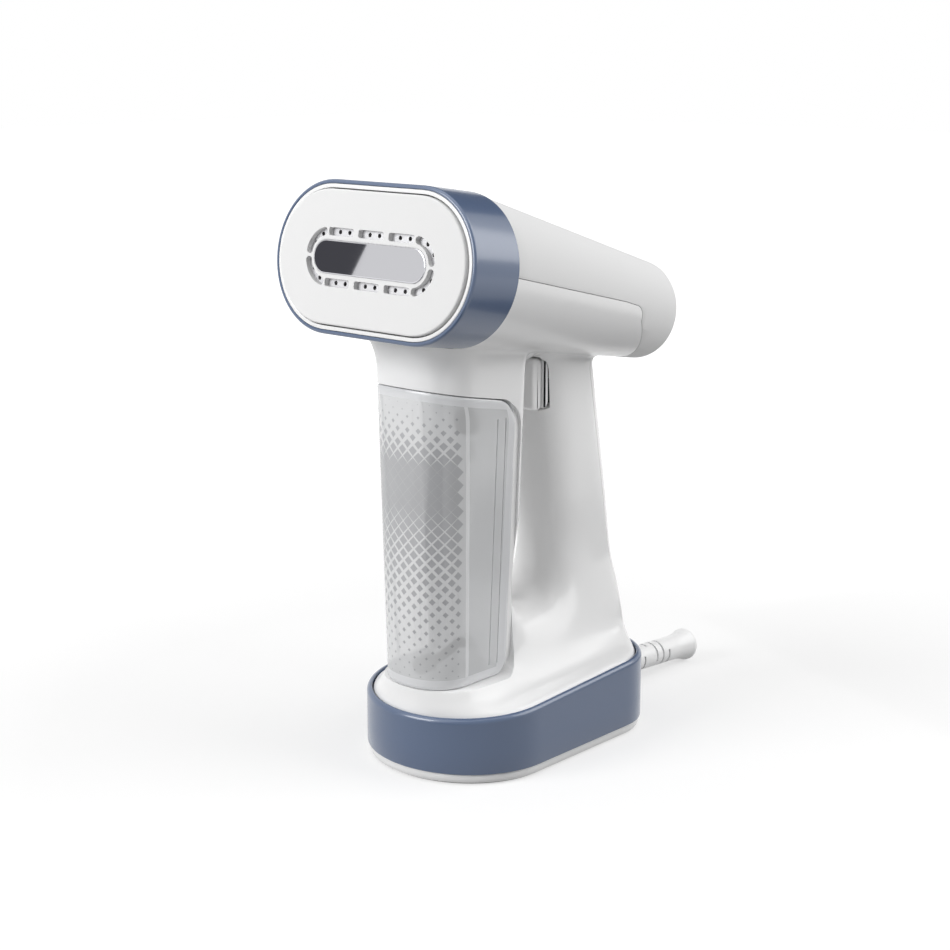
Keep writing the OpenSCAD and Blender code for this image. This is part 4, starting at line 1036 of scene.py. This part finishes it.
class STEAMER_OT_tank(bpy.types.Operator):
    """Builds the clear water tank with its frosted rims"""

    bl_idname = "steamer.tank"
    bl_label = "Water tank"

    def execute(self, context):
        s, materials = sizes(context), finishes(context)
        low, back, count = s.shelf + 0.3, -s.tank_back, 120
        tall = seam_height(s, back) - 0.5 - low

        def ring(up, inset):
            """The wall's outline at a height measured at the back, with the back edge's round corners in the side view."""

            def z(y):
                return low + (seam_height(s, y) - 0.5 - low) * up / tall

            cut = 0.0
            for r, reach in ((8.0, up), (13.0, tall - up)):
                if reach < r:
                    cut = max(cut, r - math.sqrt(max(r * r - (r - max(reach, 0)) ** 2, 0)))
            return level(column_outline(s, z(-50), inset, back=back - cut - inset, corner=2.2, count=count), z)

        steps = [0.9, 2, 3.4, 5, 6.4, 8] + spread(14, tall - 20, 14)
        steps += [tall - d for d in (16, 13, 11, 9, 7, 5.6, 4.5, 3.4, 2.2, 0.9)]
        outer = [ring(0, 0.9), ring(0.25, 0.35)] + [ring(up, 0) for up in steps] + [ring(tall - 0.25, 0.35), ring(tall, 0.9)]
        bm = skin(bmesh.new(), outer)
        # the rims and the back edge are frosted, and the UV map holds the way round and the height in metres
        rim_top, rim_low, back_points = 4.5, 5, 21
        place = bm.verts.layers.int["place"]
        wrap = bm.loops.layers.uv.new("wrap")
        spacing = {}
        for face in bm.faces:
            middle = face.calc_center_median()
            up = (middle.z - low) / (seam_height(s, middle.y) - 0.5 - low) * tall
            column = sum(vert[place] for vert in face.verts) / len(face.verts)
            closes = max(abs(vert[place] - column) for vert in face.verts) > 9
            at_back = len(face.verts) > 4 or min(column, count - column) < back_points or closes
            face.material_index = 1 if up > tall - rim_top or up < rim_low or at_back else 0
            for loop in face.loops:
                p = loop.vert.co
                key = round(p.z)
                if key not in spacing:
                    spacing[key] = outline_length(column_outline(s, key, 0, back=back, corner=2.2)) / count
                loop[wrap].uv = ((loop.vert[place] - count / 2) * spacing[key] * MM, (p.z - low) * MM)
        dressing = [materials[key] for key in ("tank", "tank_rim", "tank_inner")]
        shell = piece("tank_wall", bm, *dressing, crease=35)

        wall, cap = 2.2, 3.0
        inner = [ring(up, wall) for up in [cap, 4.4, 6, 9] + spread(14, tall - 14, 10) + [tall - 9, tall - 6, tall - cap]]
        room = skin(bmesh.new(), [[p + Vector((0, -1, 0)) for p in points] for points in inner])
        for face in room.faces:
            face.material_index = 2
        combine(shell, piece("tool", room, *dressing))
        # two fine grooves down each side, before the back edge
        half, foot, head = 0.45, low + 7, low + tall - 7
        for y in (back - 8.4, back - 14.6):
            for side in (-1, 1):
                line = [Vector(p) for p in ((y - half, foot), (y + half, foot), (y + half, head), (y - half, head))]
                combine(shell, cutter(line, lambda z, side=side: side * (column_half(s, z) - 0.5), side * 45))
        # the wall is open behind, where the tank's back closes it
        rim = 1.2
        heights = spread(low + cap + rim, low + tall - cap - rim, 8)
        door = [level(column_outline(s, z, wall + rim, back=back + 1, corner=3), z) for z in heights]
        combine(shell, tool([[Vector((p.x, max(p.y, back - 8), p.z)) for p in points] for points in door]))
        shade(shell.data, 35)
        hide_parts("tank_shell")
        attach(shell, "tank")
        return {"FINISHED"}


class STEAMER_OT_trigger(bpy.types.Operator):
    """Builds the trigger"""

    bl_idname = "steamer.trigger"
    bl_label = "Trigger"

    def execute(self, context):
        materials = finishes(context)
        low, high = node_box("trigger")

        def padded(bm, half, front, back, bottom, top, r_front, r_back, r):
            """A side profile between two cheeks with rounded edges."""

            def profile(inset):
                y0, y1, z0, z1 = front + inset, back - inset, bottom + inset, top - inset
                points = arc(y0 + r_front, z0 + r_front, r_front, 180, 270, 10)
                points += arc(y1 - r_back, z0 + r_back, r_back, -90, 0, 8) + arc(y1 - r_back, z1 - r_back, r_back, 0, 90, 8)
                return even(points + arc(y0 + r_front, z1 - r_front, r_front, 90, 180, 10), 72)

            rings = []
            for side in (-1, 1):
                turn = [(half - r + r * up, r * (1 - c)) for c, up in quarter(5)]
                rings += [[Vector((side * x, p.x, p.y)) for p in profile(inset)] for x, inset in turn[::side]]
            return skin(bm, rings)

        # the pad that the finger presses, a core behind it and a flange in the pocket
        bm = padded(bmesh.new(), high.x, low.y, low.y + 7.4, low.z, high.z, 3.0, 2.4, 1.4)
        padded(bm, high.x - 1, low.y + 6, low.y + 9, low.z + 2, high.z - 2, 1.0, 1.0, 0.4)
        padded(bm, high.x + 1.1, low.y + 7.7, low.y + 11.4, low.z + 0.8, high.z - 0.4, 1.0, 3.4, 0.6)
        obj = piece("trigger_pad", bm, materials["gloss"], crease=40)
        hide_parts("trigger")
        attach(obj, "trigger")
        return {"FINISHED"}


class STEAMER_OT_frame_parts(bpy.types.Operator):
    """Gives the frame's own nodes their materials"""

    bl_idname = "steamer.frame_parts"
    bl_label = "Frame parts"

    NODES = {
        "guard": ["cord_guard"],
        # the steam chamber's dark finish is painted shade seen through the jet holes
        "jet_shade": ["steam_chamber"],
        "cast": ["chamber_cover", "jet_plate"],
        "steel": [
            "heating_element", "chamber_screws", "board_screws", "base_screws", "trigger_pin", "trigger_spring",
            "pump_plunger", "pump_spring", "heat_shield",
        ],
        "brass": ["steam_inlet"],
        "ceramic": ["heater_terminals", "thermal_fuse", "terminal_block"],
        "dark": ["thermostat", "pump", "board_parts", "micro_switch"],
        "pale": ["pump_clamp", "tank_socket", "cord_clamp", "switch_bracket"],
        "silicone": ["inlet_hose", "outlet_hose"],
        "hose": ["suction_hose", "suction_filter"],
        "red": ["switch_button"],
        "lead": ["heater_leads", "switch_leads"],
        "board": ["control_board"],
        "rubber": ["socket_seal", "outlet_valve", "fill_plug"],
        "tank_rim": ["tank_back"],
    }

    def execute(self, context):
        materials = finishes(context)
        for key, nodes in self.NODES.items():
            for node in nodes:
                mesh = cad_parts[node].data
                mesh.materials.clear()
                mesh.materials.append(materials[key])
        return {"FINISHED"}


OPERATORS = (
    STEAMER_OT_stage,
    STEAMER_OT_frame_parts,
    STEAMER_OT_housing,
    STEAMER_OT_cover,
    STEAMER_OT_base,
    STEAMER_OT_head,
    STEAMER_OT_plate,
    STEAMER_OT_tank,
    STEAMER_OT_trigger,
)


class STEAMER_PT_panel(bpy.types.Panel):
    """The steamer's operators, sizes and colours"""

    bl_idname = "STEAMER_PT_panel"
    bl_label = "Garment Steamer"
    bl_space_type = "VIEW_3D"
    bl_region_type = "UI"
    bl_category = "Steamer"

    def draw(self, context):
        for operator in OPERATORS:
            self.layout.operator(operator.bl_idname)
        for group, kind in ((context.scene.steamer_sizes, SteamerSizes), (context.scene.steamer_colours, SteamerColours)):
            box = self.layout.box()
            for key in kind.__annotations__:
                box.prop(group, key)


CLASSES = (SteamerSizes, SteamerColours, *OPERATORS, STEAMER_PT_panel)


def register():
    for cls in CLASSES:
        bpy.utils.register_class(cls)
    bpy.types.Scene.steamer_sizes = PointerProperty(type=SteamerSizes)
    bpy.types.Scene.steamer_colours = PointerProperty(type=SteamerColours)


def unregister():
    del bpy.types.Scene.steamer_colours
    del bpy.types.Scene.steamer_sizes
    for cls in reversed(CLASSES):
        bpy.utils.unregister_class(cls)


def main():
    register()
    for operator in OPERATORS:
        group, name = operator.bl_idname.split(".")
        if getattr(getattr(bpy.ops, group), name)() != {"FINISHED"}:
            raise RuntimeError(operator.bl_label + " could not be built")


if __name__ == "__main__":
    main()
